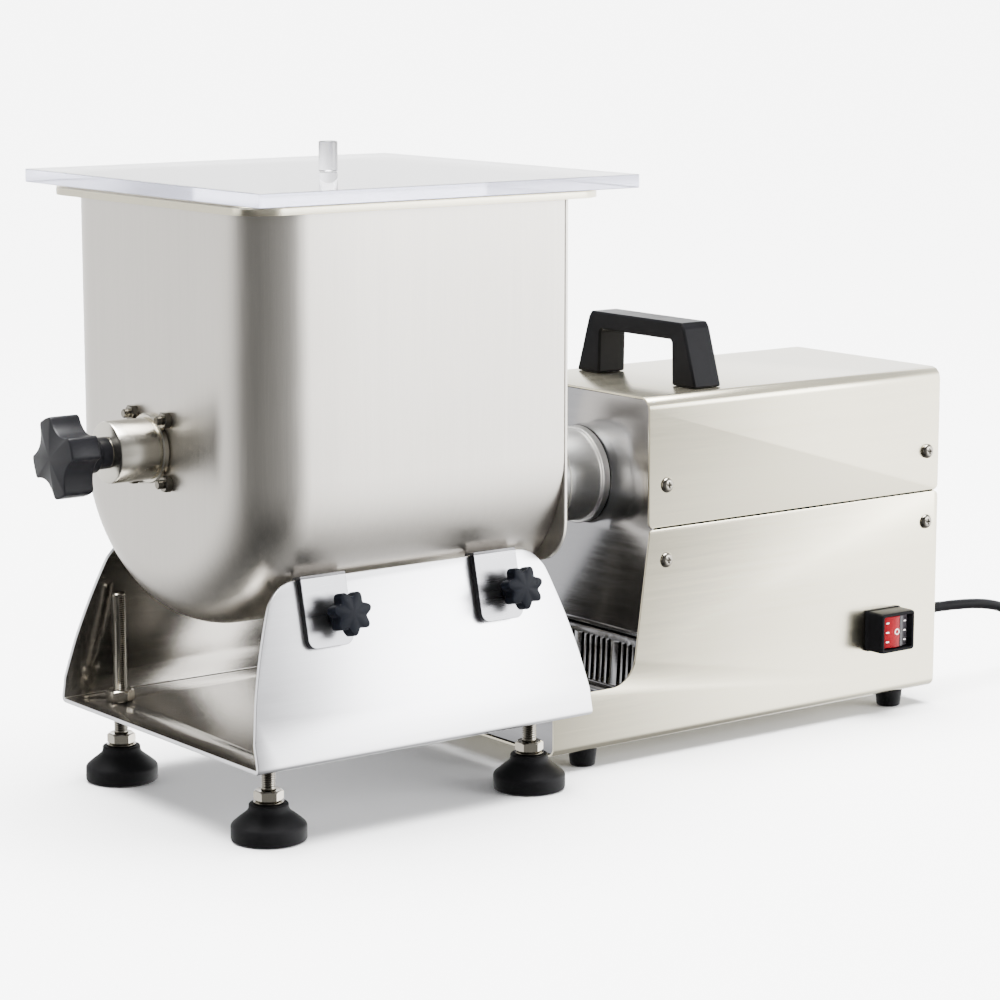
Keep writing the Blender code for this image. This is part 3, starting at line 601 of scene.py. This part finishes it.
def make_tank():
    """Deep tub: a U-shaped trough whose knob end is one piece with a large fillet."""
    bm = bmesh.new()

    def skin(inset):
        fillet = FILLET - inset
        stations = []
        for k in range(13):
            a = math.pi / 2 * k / 12
            stations.append((TANK_X0 + inset + fillet * (1 - math.cos(a)), inset + fillet * (1 - math.sin(a))))
        stations += [(x, inset) for x in (-200, -120, TANK_X1)]
        rows = []
        for x, drawn_in in stations:
            r, depth = TANK_R - drawn_in, BOWL_DEPTH - drawn_in
            bowl = [(r * y, BOWL_Z + depth * z) for y, z in arc(0, 0, 1, 0, -180, 56)]
            profile = [(r, TANK_TOP), (r, 350), (r, 300)] + bowl + [(-r, 300), (-r, 350), (-r, TANK_TOP)]
            rows.append([bm.verts.new((x, y, z)) for y, z in profile])
        for low, high in zip(rows, rows[1:]):
            for i in range(len(low) - 1):
                bm.faces.new((low[i], low[i + 1], high[i + 1], high[i]))
        bore = [bm.verts.new((stations[0][0], 11 * math.cos(a), SHAFT_Z + 11 * math.sin(a)))
                for a in (2 * math.pi * k / 32 for k in range(32))]
        edges = []
        for loop in (rows[0], bore):
            for i, vert in enumerate(loop):
                pair = (vert, loop[(i + 1) % len(loop)])
                edges.append(bm.edges.get(pair) or bm.edges.new(pair))
        bmesh.ops.triangle_fill(bm, use_beauty=True, edges=edges)
        return rows, bore

    outer, bore_out = skin(0.0)
    inner, bore_in = skin(SHEET)
    for k in range(len(outer) - 1):
        for side in (0, -1):
            bm.faces.new((outer[k][side], outer[k + 1][side], inner[k + 1][side], inner[k][side]))
    bm.faces.new((outer[0][0], inner[0][0], inner[0][-1], outer[0][-1]))
    for i in range(len(outer[-1]) - 1):
        bm.faces.new((outer[-1][i], outer[-1][i + 1], inner[-1][i + 1], inner[-1][i]))
    for i in range(32):
        j = (i + 1) % 32
        bm.faces.new((bore_out[i], bore_out[j], bore_in[j], bore_in[i]))
    piece("tank_tub", bm, STEEL_TANK, nodes="tank_shell", angle=40)


def make_tank_end():
    """Thicker plate that closes the motor end."""
    low, corner = 158.5, 31.0
    wall = arc(-TANK_R + corner, low + corner, corner, 180, 270, 12)
    wall += [(y, BOWL_Z - BOWL_DEPTH * math.sqrt(1 - (y / TANK_R) ** 2)) for y in range(-84, 85, 6)]
    wall += arc(TANK_R - corner, low + corner, corner, 270, 360, 12)
    outline = [(TANK_R, TANK_TOP), (-TANK_R, TANK_TOP)] + wall
    x0 = TANK_X1 + GAP
    plate("tank_end_sheet", [outline, circle(0, SHAFT_Z, 10)], x0, x0 + END_T, "yz", STEEL_TANK,
          nodes="tank_end_plate", edge=0.8)


def make_rim():
    """Folded flange round the tank mouth, its lip turned down with a small bend radius."""
    top = TANK_TOP

    def ring(x0, x1, half, z, radius, radius_x0=None):
        far = radius if radius_x0 is None else radius_x0
        corners = [(x1, half), (x0, half), (x0, -half), (x1, -half)]
        return [(x, y, z) for x, y in rounded(corners, [radius, far, far, radius], 12)]

    x0, x1, half = -297.0, -10.0, 130.0
    rings = [ring(x0, x1, half, top - 6.0, 26)]
    for k in range(6):
        a = math.pi / 2 * k / 5
        cut = 2.2 * (1 - math.cos(a))
        rings.append(ring(x0 + cut, x1 - cut, half - cut, top - 2.2 + 2.2 * math.sin(a), 26 - cut))
    inner = (TANK_X0 - GAP, TANK_X1 + END_T + 2 * GAP, TANK_R + GAP)
    for z in (top, top - SHEET):
        rings.append(ring(*inner, z, 0.25, FILLET + GAP))
    rings.append(ring(x0 + 2.4, x1 - 2.4, half - 2.4, top - SHEET, 23.6))
    rings.append(ring(x0 + SHEET, x1 - SHEET, half - SHEET, top - 2.6, 24.5))
    rings.append(ring(x0 + SHEET, x1 - SHEET, half - SHEET, top - 6.0, 24.5))
    piece("tank_flange", loft(rings, closed_path=True), STEEL_COVER, nodes="tank_rim",
          angle=40)


def make_lid():
    """Clear sheet with paler sawn edges, and its handle peg."""
    low, high = box("lid_panel")
    panel = loft([[(x, y, z) for x, y in rectangle(low.x, high.x, low.y, high.y, 2.0, 4)]
                  for z in (low.z, high.z)])
    obj = piece("lid_sheet", panel, CLEAR, "lid", "lid_panel", bevel=0.5)
    obj.data.materials.append(EDGE)
    for face in obj.data.polygons:
        if abs(face.normal.z) < 0.5:
            face.material_index = 1
    low, high = box("lid_peg")
    r, h = (high.x - low.x) / 2, high.z - low.z
    turned("lid_handle_peg",
           [(0, 0), (r - 0.3, 0), (r, 0.3), (r, h - 1.0), (r - 0.3, h - 0.3), (r - 1.0, h), (0, h)],
           ((low.x + high.x) / 2, 0, low.z), (0, 0, 1), CLEAR, "lid", "lid_peg")


# ---- paddle shaft, bearing and knob ----
def make_paddle_shaft():
    x0, length = BOSS_X0, 316.0
    turned("mixing_shaft", [(0, 0), (7.2, 0), (8, 0.8), (8, length - 0.8), (7.2, length), (0, length)],
           (x0, 0, SHAFT_Z), (1, 0, 0), STEEL_TURNED, "paddle_shaft", "paddle_shaft")
    for name, x, side in (("paddle_front", -220.0, 1), ("paddle_rear", -100.0, -1)):
        arm, blade, reach_in, reach_out = 11.0, 38.0, 72.0, 98.0
        corners = [(arm, reach_in), (blade, reach_in), (blade, reach_out)]
        outline = corners + [(-px, pz) for px, pz in reversed(corners)]
        outline += [(-px, -pz) for px, pz in outline]
        radii = [5, 4, 6, 6, 4, 5] * 2
        points = [(x + px, SHAFT_Z + pz) for px, pz in rounded(outline, radii, 5)]
        low, high = (8.3, 12.3) if side > 0 else (-12.3, -8.3)
        plate(name + "_blade", [points], low, high, "xz", STEEL_TANK, "paddle_shaft", name, edge=0.8)
        low, high = (6.6, 8.4) if side > 0 else (-8.4, -6.6)
        weld = slab(rectangle(x - 10, x + 10, SHAFT_Z - 5.0, SHAFT_Z + 5.0, 2, 3), low, high, "xz")
        piece(name + "_weld", weld, STEEL_TURNED, "paddle_shaft", bevel=0.6)


def make_bearing():
    """Turned boss on the tank's end wall, its bush, the flange inside and the four nuts."""
    reach = TANK_X0 - GAP - BOSS_X0
    profile = [(8.6, 0), (19.3, 0), (20.1, 0.35), (20.5, 1.2), (20.5, reach - 6.2), (19.4, reach - 5.6),
               (19.4, reach - 4.7), (22.3, reach - 4.7), (23, reach - 4.0), (23, reach - 0.9), (22, reach),
               (8.6, reach)]
    turned("bearing_boss", profile, (BOSS_X0, 0, SHAFT_Z), (1, 0, 0), STEEL_TURNED,
           nodes="bearing_housing", segments=96)
    turned("bearing_bush", [(8.12, 0.6), (8.6, 0.2), (10.4, 0.2), (10.4, -0.25), (8.3, -0.25)],
           (BOSS_X0, 0, SHAFT_Z), (1, 0, 0), STEEL_TURNED)
    inside = TANK_X0 + SHEET + GAP
    turned("inner_flange", [(8.4, 0), (38, 0), (38, 2.2), (37.2, 3), (9, 3)], (inside, 0, SHAFT_Z), (1, 0, 0),
           STEEL_TURNED, nodes="housing_flange")
    for n in range(1, 5):
        a = math.pi / 4 + (n - 1) * math.pi / 2
        y, z = 29.7 * math.cos(a), SHAFT_Z + 29.7 * math.sin(a)
        hex_nut("housing_nut_%d" % n, 10, GAP, 5.4, 0, (TANK_X0, y, z), (-1, 0, 0), FASTENER,
                nodes="housing_bolt_%d" % n, tip=(3.0, 4.4))


def cross_outline(tip, half, waist, phase):
    """Four wide flat lobes with hollow curves between them."""
    points, radii = [], []
    for k in range(4):
        a = phase + math.pi / 2 * k

        def at(x, y, turn=a):
            return Vector((x * math.cos(turn) - y * math.sin(turn), x * math.sin(turn) + y * math.cos(turn)))

        here, after = at(tip, half), at(tip, -half, a + math.pi / 2)
        hollow = at(waist * math.cos(math.pi / 4), waist * math.sin(math.pi / 4)) * 2 - (here + after) / 2
        points += [at(tip, -half), at(tip + 0.5, 0), here]
        radii += [2.4, 0, 2.4]
        for t in (0.14, 0.26, 0.38, 0.5, 0.62, 0.74, 0.86):
            points.append(here * (1 - t) ** 2 + hollow * 2 * t * (1 - t) + after * t ** 2)
            radii.append(0)
    return rounded([tuple(p) for p in points], radii, 4)


def make_shaft_knob():
    shaft_end = BOSS_X0 - GAP
    reach = 368.0 + shaft_end
    outline = cross_outline(26.0, 7.4, 18.0, math.radians(20))
    neck = [(4, 0), (10.2, 0), (10.5, 0.6), (10.5, 7.0), (11.0, 8.2), (12.2, 9.4), (12.4, 10.4),
            (12.4, 16.6), (13.0, 17.6)]
    star_knob("shaft_star_knob", outline, neck, 18.0, reach - 2.4, 2.0, 1.2, (shaft_end, 0, SHAFT_Z), (-1, 0, 0),
              BLACK, "shaft_knob", "shaft_knob")


# ---- stand, brackets, clamps and feet ----
def wall_y(z):
    return STAND_Y - (z - STAND_Z) * math.tan(WALL_LEAN)


FEET = [(x, y) for x in (-265.0, -52.0) for y in (-94.5, 94.5)]


def smooth_edge(points):
    """Catmull-Rom points through a plane edge, about a third of its first step apart."""
    route = [Vector((a, b, 0)) for a, b in points]
    return [(p.x, p.y) for p in smooth_route(route, (route[1] - route[0]).length / 3)]


def make_stand():
    """One 3 mm sheet, folded into a flat base and two inward-leaning walls."""
    x0, x1 = -293.0, -22.0
    top = wall_y(STAND_TOP)
    path = open_path([(-top, STAND_TOP), (-STAND_Y, STAND_Z), (STAND_Y, STAND_Z), (top, STAND_TOP)], 3.8, 6)
    total = path_length(path)
    floor_start = (total - 2 * STAND_Y) / 2
    corner = [((STAND_TOP - z) / math.cos(WALL_LEAN), x) for x, z in smooth_edge(
        [(46, 170), (40, 169.4), (33, 166.3), (27, 160.5), (22.5, 153), (13.5, 128), (6.5, 104), (3, 88),
         (0, 72)])]

    def half(sign, end):
        return [(s, end + sign * t) for s, t in corner]

    left = half(1, x0)
    right = half(-1, x1)
    outline = left + [(total - s, t) for s, t in reversed(left)]
    outline += [(total - s, t) for s, t in right] + [(s, t) for s, t in reversed(right)]
    holes = [circle(floor_start + STAND_Y + y, x, 5.4, 24) for x, y in FEET]
    # The inner faces take the darker copy of the stand steel: painted shade inside the stand.
    bent_sheet("stand_sheet", [outline] + holes, path, "x", STEEL_STAND, STAND_T, "stand", edge=0.5, flip=True,
               inside=STEEL_INSIDE_SHADED)


def make_brackets():
    """Tabs outside the stand walls, each with a short hook over the wall, and on a near-black core of painted
    shade that fills the gap to the wall and darkens the tab's edges.
    """
    along = Vector((math.sin(WALL_LEAN), -math.cos(WALL_LEAN)))
    out = Vector((math.cos(WALL_LEAN), math.sin(WALL_LEAN)))
    inner = Vector((wall_y(STAND_TOP), STAND_TOP)) + out * TAB_OFF
    length = 45.5
    for number in range(1, 5):
        low, high = box("tank_bracket_%d" % number)
        side = -1 if number % 2 else 1
        corners = [(low.x, -0.3), (high.x, -0.3), (high.x, length), (low.x, length)]
        outline = rounded(corners, [0, 0, 6.5, 6.5], 8)

        def layer(name, depths, mat, nodes=(), bevel=0.0):
            rings = []
            for depth in depths:
                rows = [(x, inner + along * down + out * depth) for x, down in outline]
                rings.append([(x, side * p.x, p.y) for x, p in rows])
            piece(name, loft(rings), mat, nodes=nodes, bevel=bevel)

        # The tab's thin face is the darker steel: painted shade.
        layer("bracket_tab_%d" % number, (2.1, TAB_T), STEEL_TAB_SHADED, "tank_bracket_%d" % number, 0.3)
        # A near-black core behind each tab's face: painted shade in the gap to the wall.
        layer("bracket_shade_core_%d" % number, (-1.8, 2.1), TAB_GAP_SHADE)
        hook = []
        for x in (low.x, high.x):
            corners = [inner + along * down + out * depth
                       for down, depth in ((-1.9, -8.0), (-1.9, 2.6), (-0.4, TAB_T), (-0.4, -8.0))]
            hook.append([(x, side * p.x, p.y) for p in corners])
        piece("bracket_hook_%d" % number, loft(hook), STEEL_TAB_SHADED, bevel=0.3)


def make_clamps():
    """Star knobs on the tabs."""
    for number, x in enumerate((-221.5, -221.5, -82.3, -82.3), 1):
        side = -1 if number % 2 else 1
        axis = Vector((0, side * math.cos(WALL_LEAN), math.sin(WALL_LEAN)))
        foot = Vector((x, side * wall_y(CLAMP_Z), CLAMP_Z)) + axis * (TAB_OFF + TAB_T + GAP)
        outline = star(14.8, 7, 4.0, 0.2, 112, 1.1)
        neck = [(3, 0), (7.0, 0), (7.4, 0.6), (8.3, 2.0), (8.6, 3.0), (8.6, 8.0), (9.2, 8.8)]
        star_knob("clamp_star_%d" % number, outline, neck, 9.0, 18.6, 0.8, 1.1, foot, axis, CLAMP_BLACK,
                  "clamp_knob_%d" % number, "clamp_knob_%d" % number)


def make_feet():
    """Bell-shaped rubber pads on threaded studs, each with an adjusting hexagon and a lock nut."""
    for number, (x, y) in enumerate(FEET, 1):
        body = "foot_%d" % number
        pad = [(0, 0.6), (21.5, 0.6), (22.2, 0), (23.6, 0), (24.6, 0.5), (25, 1.4), (25, 9.0), (24.8, 10.0),
               (24.0, 11.2), (20.5, 14.2), (16.6, 17.2), (14.6, 18.8), (13.5, 20.4), (13.1, 22.2),
               (13.1, 23.6), (12.6, 24.3), (11.8, 24.5), (0, 24.5)]
        turned("foot_bell_%d" % number, pad, (x, y, 0), (0, 0, 1), RUBBER, body, "foot_pad_%d" % number, 96)
        collar = ((10.0, 0), (10.2, 0.3), (10.2, 0.9), (8.0, 1.0), (5.0, 1.1), (4.6, 8.6))
        rings = [flat_ring(r, h) for r, h in collar] + threaded(5.0, 9.2, 107.0, 1.5) + [flat_ring(4.0, 108)]
        stud = piece("foot_screw_%d" % number, loft(rings), FASTENER, body, "foot_stud_%d" % number, angle=60)
        stud.data.transform(Matrix.Translation((x * MM, y * MM, 24.8 * MM)))
        hex_nut("foot_hexagon_%d" % number, 17, 26.0, 33.4, 5.05, (x, y, 0), (0, 0, 1), PLATED, body)
        turned("foot_washer_%d" % number, [(5.4, 0), (10.4, 0), (10.6, 0.2), (10.6, 1.3), (10.4, 1.4), (5.4, 1.4)],
               (x, y, STAND_Z - 1.55), (0, 0, 1), PLATED, BASE, segments=48)
        hex_nut("foot_lock_nut_%d" % number, 17, GAP, 8.3, 5.3, (x, y, STAND_Z + STAND_T), (0, 0, 1),
                PLATED, BASE, "lock_nut_%d" % number)


# ---- motor unit ----
def make_covers():
    """Hood and tray that meet in a seam; the tray is notched towards the stand."""
    low = BOX_SEAM + 0.6
    upper = open_path([(BOX_Y, low), (BOX_Y, BOX_TOP), (-BOX_Y, BOX_TOP), (-BOX_Y, low)], 9.0, 10)
    total = path_length(upper)
    blank = rounded([(0, BOX_X0), (total, BOX_X0), (total, BOX_X1), (0, BOX_X1)], [4] * 4, 6)
    bent_sheet("motor_hood", [blank], upper, "x", STEEL_COVER, SHEET, "upper_cover", edge=0.3, flip=True)
    top = BOX_SEAM - 0.6
    lower = open_path([(-BOX_Y, top), (-BOX_Y, BOX_Z0), (BOX_Y, BOX_Z0), (BOX_Y, top)], 7.0, 8)
    total = path_length(lower)
    notch = [(BOX_X0 + 1.0, top), (BOX_X0 + 1.0, top - 4), (51.7, 74.5)]
    notch += arc(30, 78.3, 22, -10, -85, 8) + [(28, 56.3), (-22, 56.3)]
    near = [(top - z, x) for x, z in notch]
    outline = near + [(total - s, t) for s, t in reversed(near)] + [(total, BOX_X1), (0, BOX_X1)]
    outline = rounded(outline, [3] + [0] * (len(outline) - 4) + [3, 4, 4], 5)
    bent_sheet("motor_tray", [outline], lower, "x", STEEL_COVER, SHEET, "lower_cover", edge=0.3, flip=True)


def make_front():
    """Front panel with its vents and drive neck, and the slotted back panel."""
    inset = SHEET + GAP
    half = BOX_Y - inset
    bend = [(FRONT_X, BOX_TOP - inset - 1), (FRONT_X, 158), (58.0, 90)] + arc(47, 50, 8, 0, -90, 8)
    bend += rounded([(0, 42.0), (-21.5, 42.0), (-21.5, 20)], [0, 3, 0], 5)[1:-1]
    bend += [(-21.5, BOX_Z0 + inset + 1)]
    total = path_length(bend)
    slope = (Vector(bend[2]) - Vector(bend[1])).length
    start = (Vector(bend[1]) - Vector(bend[0])).length
    loops = [[(0, -half), (total, -half), (total, half), (0, half)], circle(start - (DRIVE_Z - 158), 0, 30, 40)]
    vent = start + slope + 8.0
    pitch, wide, long = 6.1, 1.7, 33
    for group, count in ((-68, 4), (-32, 6), (10, 6), (52, 6)):
        for k in range(count):
            y = group + (k - (count - 1) / 2) * pitch
            loops.append(rectangle(vent, vent + long, y - wide, y + wide, 1.6, 3))
    bent_sheet("motor_front", loops, bend, "y", STEEL_PANEL_SHADED, SHEET, "front_panel", edge=0.2)
    # A black box behind the vent slots: painted shade inside the motor.
    plate("vent_shadow_box", [rectangle(-half + 4, half - 4, 50, 100, 3)], FRONT_X - 1, FRONT_X, "yz",
          SHADE_BLACK, edge=0.0)
    # A thin black strip under the hem: painted shade in the seam.
    bent_sheet("front_panel_seam_shade", [[(0, -half + 0.2), (2.2, -half + 0.2), (2.2, half - 0.2), (0, half - 0.2)]],
               [(57.9, 89.2), (57.3, 84.8)], "y", SHADE_BLACK, 0.3, edge=0.0)
    bent_sheet("front_panel_hem", [[(0, -half), (3.0, -half), (3.0, half), (0, half)]],
               [(58.1, 92.0), (57.2, 87.6)], "y", STEEL_PANEL_SHADED, 0.9, edge=0.3)
    low, high = BOX_Z0 + inset + 1, BOX_TOP - inset - 1
    slots = [rectangle(y - 4.0, y + 4.0, z - 1.5, z + 1.5, 1.4, 3)
             for z in (196, 187, 178, 169) for y in range(-44, 45, 11)]
    plate("motor_back", [rectangle(-half, half, low, high, 8.0)] + slots + [circle(-50, 65, 6.5)], BOX_X1 - 4.0,
          BOX_X1 - 2.5, "yz", STEEL_COVER, nodes="rear_panel", edge=0.3)
    for k, (y, z) in enumerate(((-70, 245), (70, 245), (-70, 28), (70, 28))):
        screw("back_screw_%d" % (k + 1), (BOX_X1 - 2.5, y, z), (1, 0, 0), 3.4)
    x0 = FRONT_X - 43.5
    neck = [(28, 0), (32.4, 0), (33, 0.6), (33, 36.4), (33.6, 37.0), (34.9, 37.0), (35.5, 37.6), (35.5, 42.6),
            (35.0, 43.2), (28, 43.2)]
    turned("neck_collar", neck, (x0, 0, DRIVE_Z), (1, 0, 0), STEEL_NECK, nodes="neck_tube", segments=96)
    turned("neck_band", [(33.05, 0), (34.3, 0.3), (34.3, 3.4), (33.05, 3.7)], (x0 + 9, 0, DRIVE_Z), (1, 0, 0),
           STEEL_NECK, segments=96)
    turned("input_sleeve", [(24.5, 0), (27.2, 0), (27.7, 0.5), (27.7, 57.5), (27.2, 58), (24.5, 58)],
           (0.3, 0, DRIVE_Z), (1, 0, 0), STEEL_TURNED, nodes="adapter_tube", segments=96)


SCREW_SIZE = 4.6


def make_screw_mesh():
    """Pan-head screw with a cross recess, in mm, facing +Z."""
    dome = lathe([(0, 0), (5.4, 0), (5.5, 0.4), (5.2, 1.2), (4.4, 2.0), (2.8, 2.6), (0, 2.9)], 40)
    head = piece("screw_head", dome, FASTENER)
    cross = []
    for a, b in ((3.0, 0.55), (0.55, 3.0)):
        cutter = loft([[(-a * s, -b * s, h), (a * s, -b * s, h), (a * s, b * s, h), (-a * s, b * s, h)]
                       for s, h in ((0.45, 0.9), (1.0, 4.0))])
        tool = piece("screw_cross", cutter, SHADE_BLACK)
        mod = head.modifiers.new("cross", "BOOLEAN")
        mod.object = tool
        mod.solver = "EXACT"
        cross.append(tool)
    bpy.context.view_layer.update()
    evaluated = head.evaluated_get(bpy.context.evaluated_depsgraph_get())
    mesh = bpy.data.meshes.new_from_object(evaluated)
    mesh.name = "pan_head"
    for obj in [head] + cross:
        bpy.data.objects.remove(obj, do_unlink=True)
    return mesh


SCREW = make_screw_mesh()


def screw(name, at, axis, size=SCREW_SIZE):
    obj = bpy.data.objects.new(name, SCREW)
    bpy.context.scene.collection.objects.link(obj)
    obj.matrix_world = Matrix.Translation(Vector(at) * MM) @ turn_to(axis) @ Matrix.Scale(size / SCREW_SIZE, 4)
    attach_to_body(obj, BASE)


def make_side_screws():
    number = 0
    for side in (-1, 1):
        for x in (79.0, 336.0):
            for z in (197.0, 143.0):
                number += 1
                screw("cover_screw_%d" % number, (x, side * BOX_Y, z), (0, side, 0))


def make_handle():
    base_z, top_z = BOX_TOP + GAP, 306.5
    outer = [(68, base_z), (54.5, top_z - 4), (51.5, top_z)]
    inner = [(42, base_z), (41, 293.5)]
    loop = outer + [(-y, z) for y, z in reversed(outer)]
    loop += [(-y, z) for y, z in inner] + [(y, z) for y, z in reversed(inner)]
    loop = rounded(loop, [0, 4, 1.5, 1.5, 4, 0, 0, 3, 3, 0], 4)
    piece("carry_grip", slab(loop, 117.5, 142.5, "yz"), HANDLE_BLACK, nodes="carry_handle",
          bevel=2.2)


def make_switch():
    """Bezel with a two-part rocker and its printed marks."""
    cx, cz = 292.0, 65.8
    y0, y1 = -BOX_Y - GAP, -BOX_Y - 18.6

    def ring(wide, tall, radius, y):
        return [(x, y, z) for x, z in rectangle(cx - wide, cx + wide, cz - tall, cz + tall, radius, 4)]

    rings = []
    for grow, y in ((0.6, y0), (0.6, y0 - 1.8), (0.0, y0 - 2.4), (0.0, y1 + 3.0), (-0.3, y1 + 0.7), (-1.0, y1)):
        rings.append(ring(17 + grow, 15.2 + grow, 2.2, y))
    for shrink, y in ((0.0, y1), (0.3, y1 + 0.5), (0.4, y0 - 3.0)):
        rings.append(ring(14.6 - shrink, 12.9 - shrink, 1.2, y))
    piece("switch_bezel", loft(rings), HANDLE_BLACK, nodes="switch_frame", angle=30)
    pivot = y1 + 7.2

    def face(px):
        return -5.2 + 2.7 * min(abs(px) / 13.2, 1.0) ** 1.6

    def paddle(name, p0, p1, mat, nodes=()):
        front = [(p0 + (p1 - p0) * k / 8, face(p0 + (p1 - p0) * k / 8)) for k in range(9)]
        outline = [(p1, 3.0), (p0, 3.0)] + front
        bm = loft([[(cx + px, pivot + py, z) for px, py in outline] for z in (cz - 12.0, cz + 12.0)])
        piece(name, bm, mat, "rocker", nodes, bevel=0.5)

    paddle("rocker_red_half", -13.2, 3.2, RED, "switch_rocker")
    paddle("rocker_dark_half", 3.3, 13.2, DARK_CLEAR)

    def bar(px, half, dz, thin):
        return [rectangle(cx + px - half, cx + px + half, cz + dz - thin, cz + dz + thin, 0.4, 2)]

    def mark(name, loops, px):
        y = pivot + face(px)
        plate(name, loops, y - 0.25, y + 0.35, "xz", MARK_WHITE, "rocker", edge=0.0)

    for k, dz in enumerate((-7.2, 0, 7.2)):
        mark("rocker_bar_left_%d" % (k + 1), bar(-8.1, 1.8, dz, 0.5), -8.1)
        mark("rocker_bar_right_%d" % (k + 1), bar(9.2, 1.2, dz, 0.45), 9.0)
    mark("rocker_ring", [circle(cx + 0.2, cz, 2.3, 28), circle(cx + 0.2, cz, 1.6, 28)], 0.2)


def make_rubber_feet():
    foot = [(0, 1), (5, 1), (5, 0), (8.4, 0), (9.0, 0.6), (10.4, 12.2), (10.2, 12.7), (0, 12.7)]
    number = 0
    for x in (17.0, 317.0):
        for y in (-67.0, 67.0):
            number += 1
            turned("box_foot_%d" % number, foot, (x, y, 0), (0, 0, 1), RUBBER,
                   nodes="rubber_foot_%d" % number, segments=48)


def make_gland():
    profile = [(4.15, 0), (9.2, 0), (9.6, 0.5), (9.6, 3.6), (9.0, 4.4), (7.6, 4.6), (7.2, 5.4)]
    for k in range(4):
        h, r = 6.0 + k * 4.0, 7.1 - k * 0.42
        profile += [(r, h), (r - 0.1, h + 2.4), (r - 0.9, h + 2.6), (r - 0.95, h + 3.6)]
    profile += [(5.3, 22.0), (4.15, 22.2)]
    turned("strain_relief", profile, (BOX_X1 - 2.2, -50, 65), (1, 0, 0), JACKET, nodes="cord_gland")


def recolour(node, mat):
    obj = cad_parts[node]
    obj.data.materials.clear()
    obj.data.materials.append(mat)


make_tank()
make_tank_end()
make_rim()
make_lid()
make_paddle_shaft()
make_bearing()
make_shaft_knob()
make_stand()
make_brackets()
make_clamps()
make_feet()
make_covers()
make_front()
make_side_screws()
make_handle()
make_switch()
make_rubber_feet()
make_gland()
for hidden in ("driven_gear", "drive_pinion", "input_shaft", "output_gear", "rotor"):
    recolour(hidden, GEAR_STEEL)
recolour("stator", INSIDE)
recolour("gear_case", STEEL_TANK)


# ---- studio ----
def make_world():
    """Light that depends on the ray's direction, so the steel shows a graded room."""
    world = bpy.data.worlds.new("studio")
    world.use_nodes = True
    bpy.context.scene.world = world
    tree = world.node_tree
    background = tree.nodes["Background"]
    coords = tree.nodes.new("ShaderNodeTexCoord")

    def along(direction, low, high, first, last):
        """Ease from first to last while the ray's part along direction goes from low to high."""
        dot = tree.nodes.new("ShaderNodeVectorMath")
        dot.operation = "DOT_PRODUCT"
        dot.inputs[1].default_value = direction
        tree.links.new(coords.outputs["Generated"], dot.inputs[0])
        ramp = tree.nodes.new("ShaderNodeMapRange")
        ramp.interpolation_type = "SMOOTHSTEP"
        ramp.inputs["From Min"].default_value, ramp.inputs["From Max"].default_value = low, high
        ramp.inputs["To Min"].default_value, ramp.inputs["To Max"].default_value = first, last
        tree.links.new(dot.outputs["Value"], ramp.inputs["Value"])
        return ramp.outputs["Result"]

    # Rising from side to side, dark towards the camera, darker above and below, bright overhead.
    ramp = along((0.80, -0.60, 0.0), -0.9, 0.8, 1.9, 6.0)
    curtain = along((-0.60, -0.80, 0.0), 0.04, 0.76, 1.0, 0.08)
    above = along((0.0, 0.0, 1.0), 0.24, 0.52, 1.0, 0.22)
    below = along((0.0, 0.0, 1.0), -0.78, -0.24, 0.10, 1.0)
    ceiling = along((0.0, 0.0, 1.0), 0.86, 0.98, 0.0, 46.0)
    strength = ramp
    for operation, factor in (("MULTIPLY", curtain), ("MULTIPLY", above), ("MULTIPLY", below), ("ADD", ceiling)):
        node = tree.nodes.new("ShaderNodeMath")
        node.operation = operation
        tree.links.new(strength, node.inputs[0])
        tree.links.new(factor, node.inputs[1])
        strength = node.outputs["Value"]
    tree.links.new(strength, background.inputs["Strength"])
    background.inputs["Color"].default_value = (1.0, 1.0, 1.0, 1.0)


def soft_box(name, at, towards, size, power, color=(1, 1, 1)):
    light = bpy.data.lights.new(name, "AREA")
    light.shape = "RECTANGLE"
    light.size, light.size_y = size
    light.energy = power
    light.color = color
    obj = bpy.data.objects.new(name, light)
    obj.location = at
    obj.rotation_euler = (Vector(towards) - Vector(at)).to_track_quat("-Z", "Y").to_euler()
    bpy.context.scene.collection.objects.link(obj)


def make_floor():
    """Wide pale floor. Mirror reflections don't see it, so the steel shows the graded world."""
    mat = new_material("studio_floor", (0.93, 0.93, 0.93), 0.8)[0]
    half = 90  # metres
    bm = bmesh.new()
    verts = [bm.verts.new((x * half, y * half, 0)) for x, y in ((-1, -1), (1, -1), (1, 1), (-1, 1))]
    bm.faces.new(verts)
    obj = place("studio_floor", bm, mat, 35)
    obj.location = (0, 0, -0.0004)
    obj.visible_glossy = False
    obj.rotation_euler = (0, 0, CAMERA_TURN)


make_world()
soft_box("key", (1.75, -2.3, 1.0), (0.0, 0.0, 0.2), (1.9, 1.2), 70, (0.97, 0.98, 1.0))
soft_box("top", (0.3, 0.5, 2.6), (0.0, 0.0, 0.2), (2.4, 2.0), 60)
soft_box("side", (-2.4, 0.4, 1.0), (0.0, 0.0, 0.25), (1.0, 1.4), 10)
make_floor()
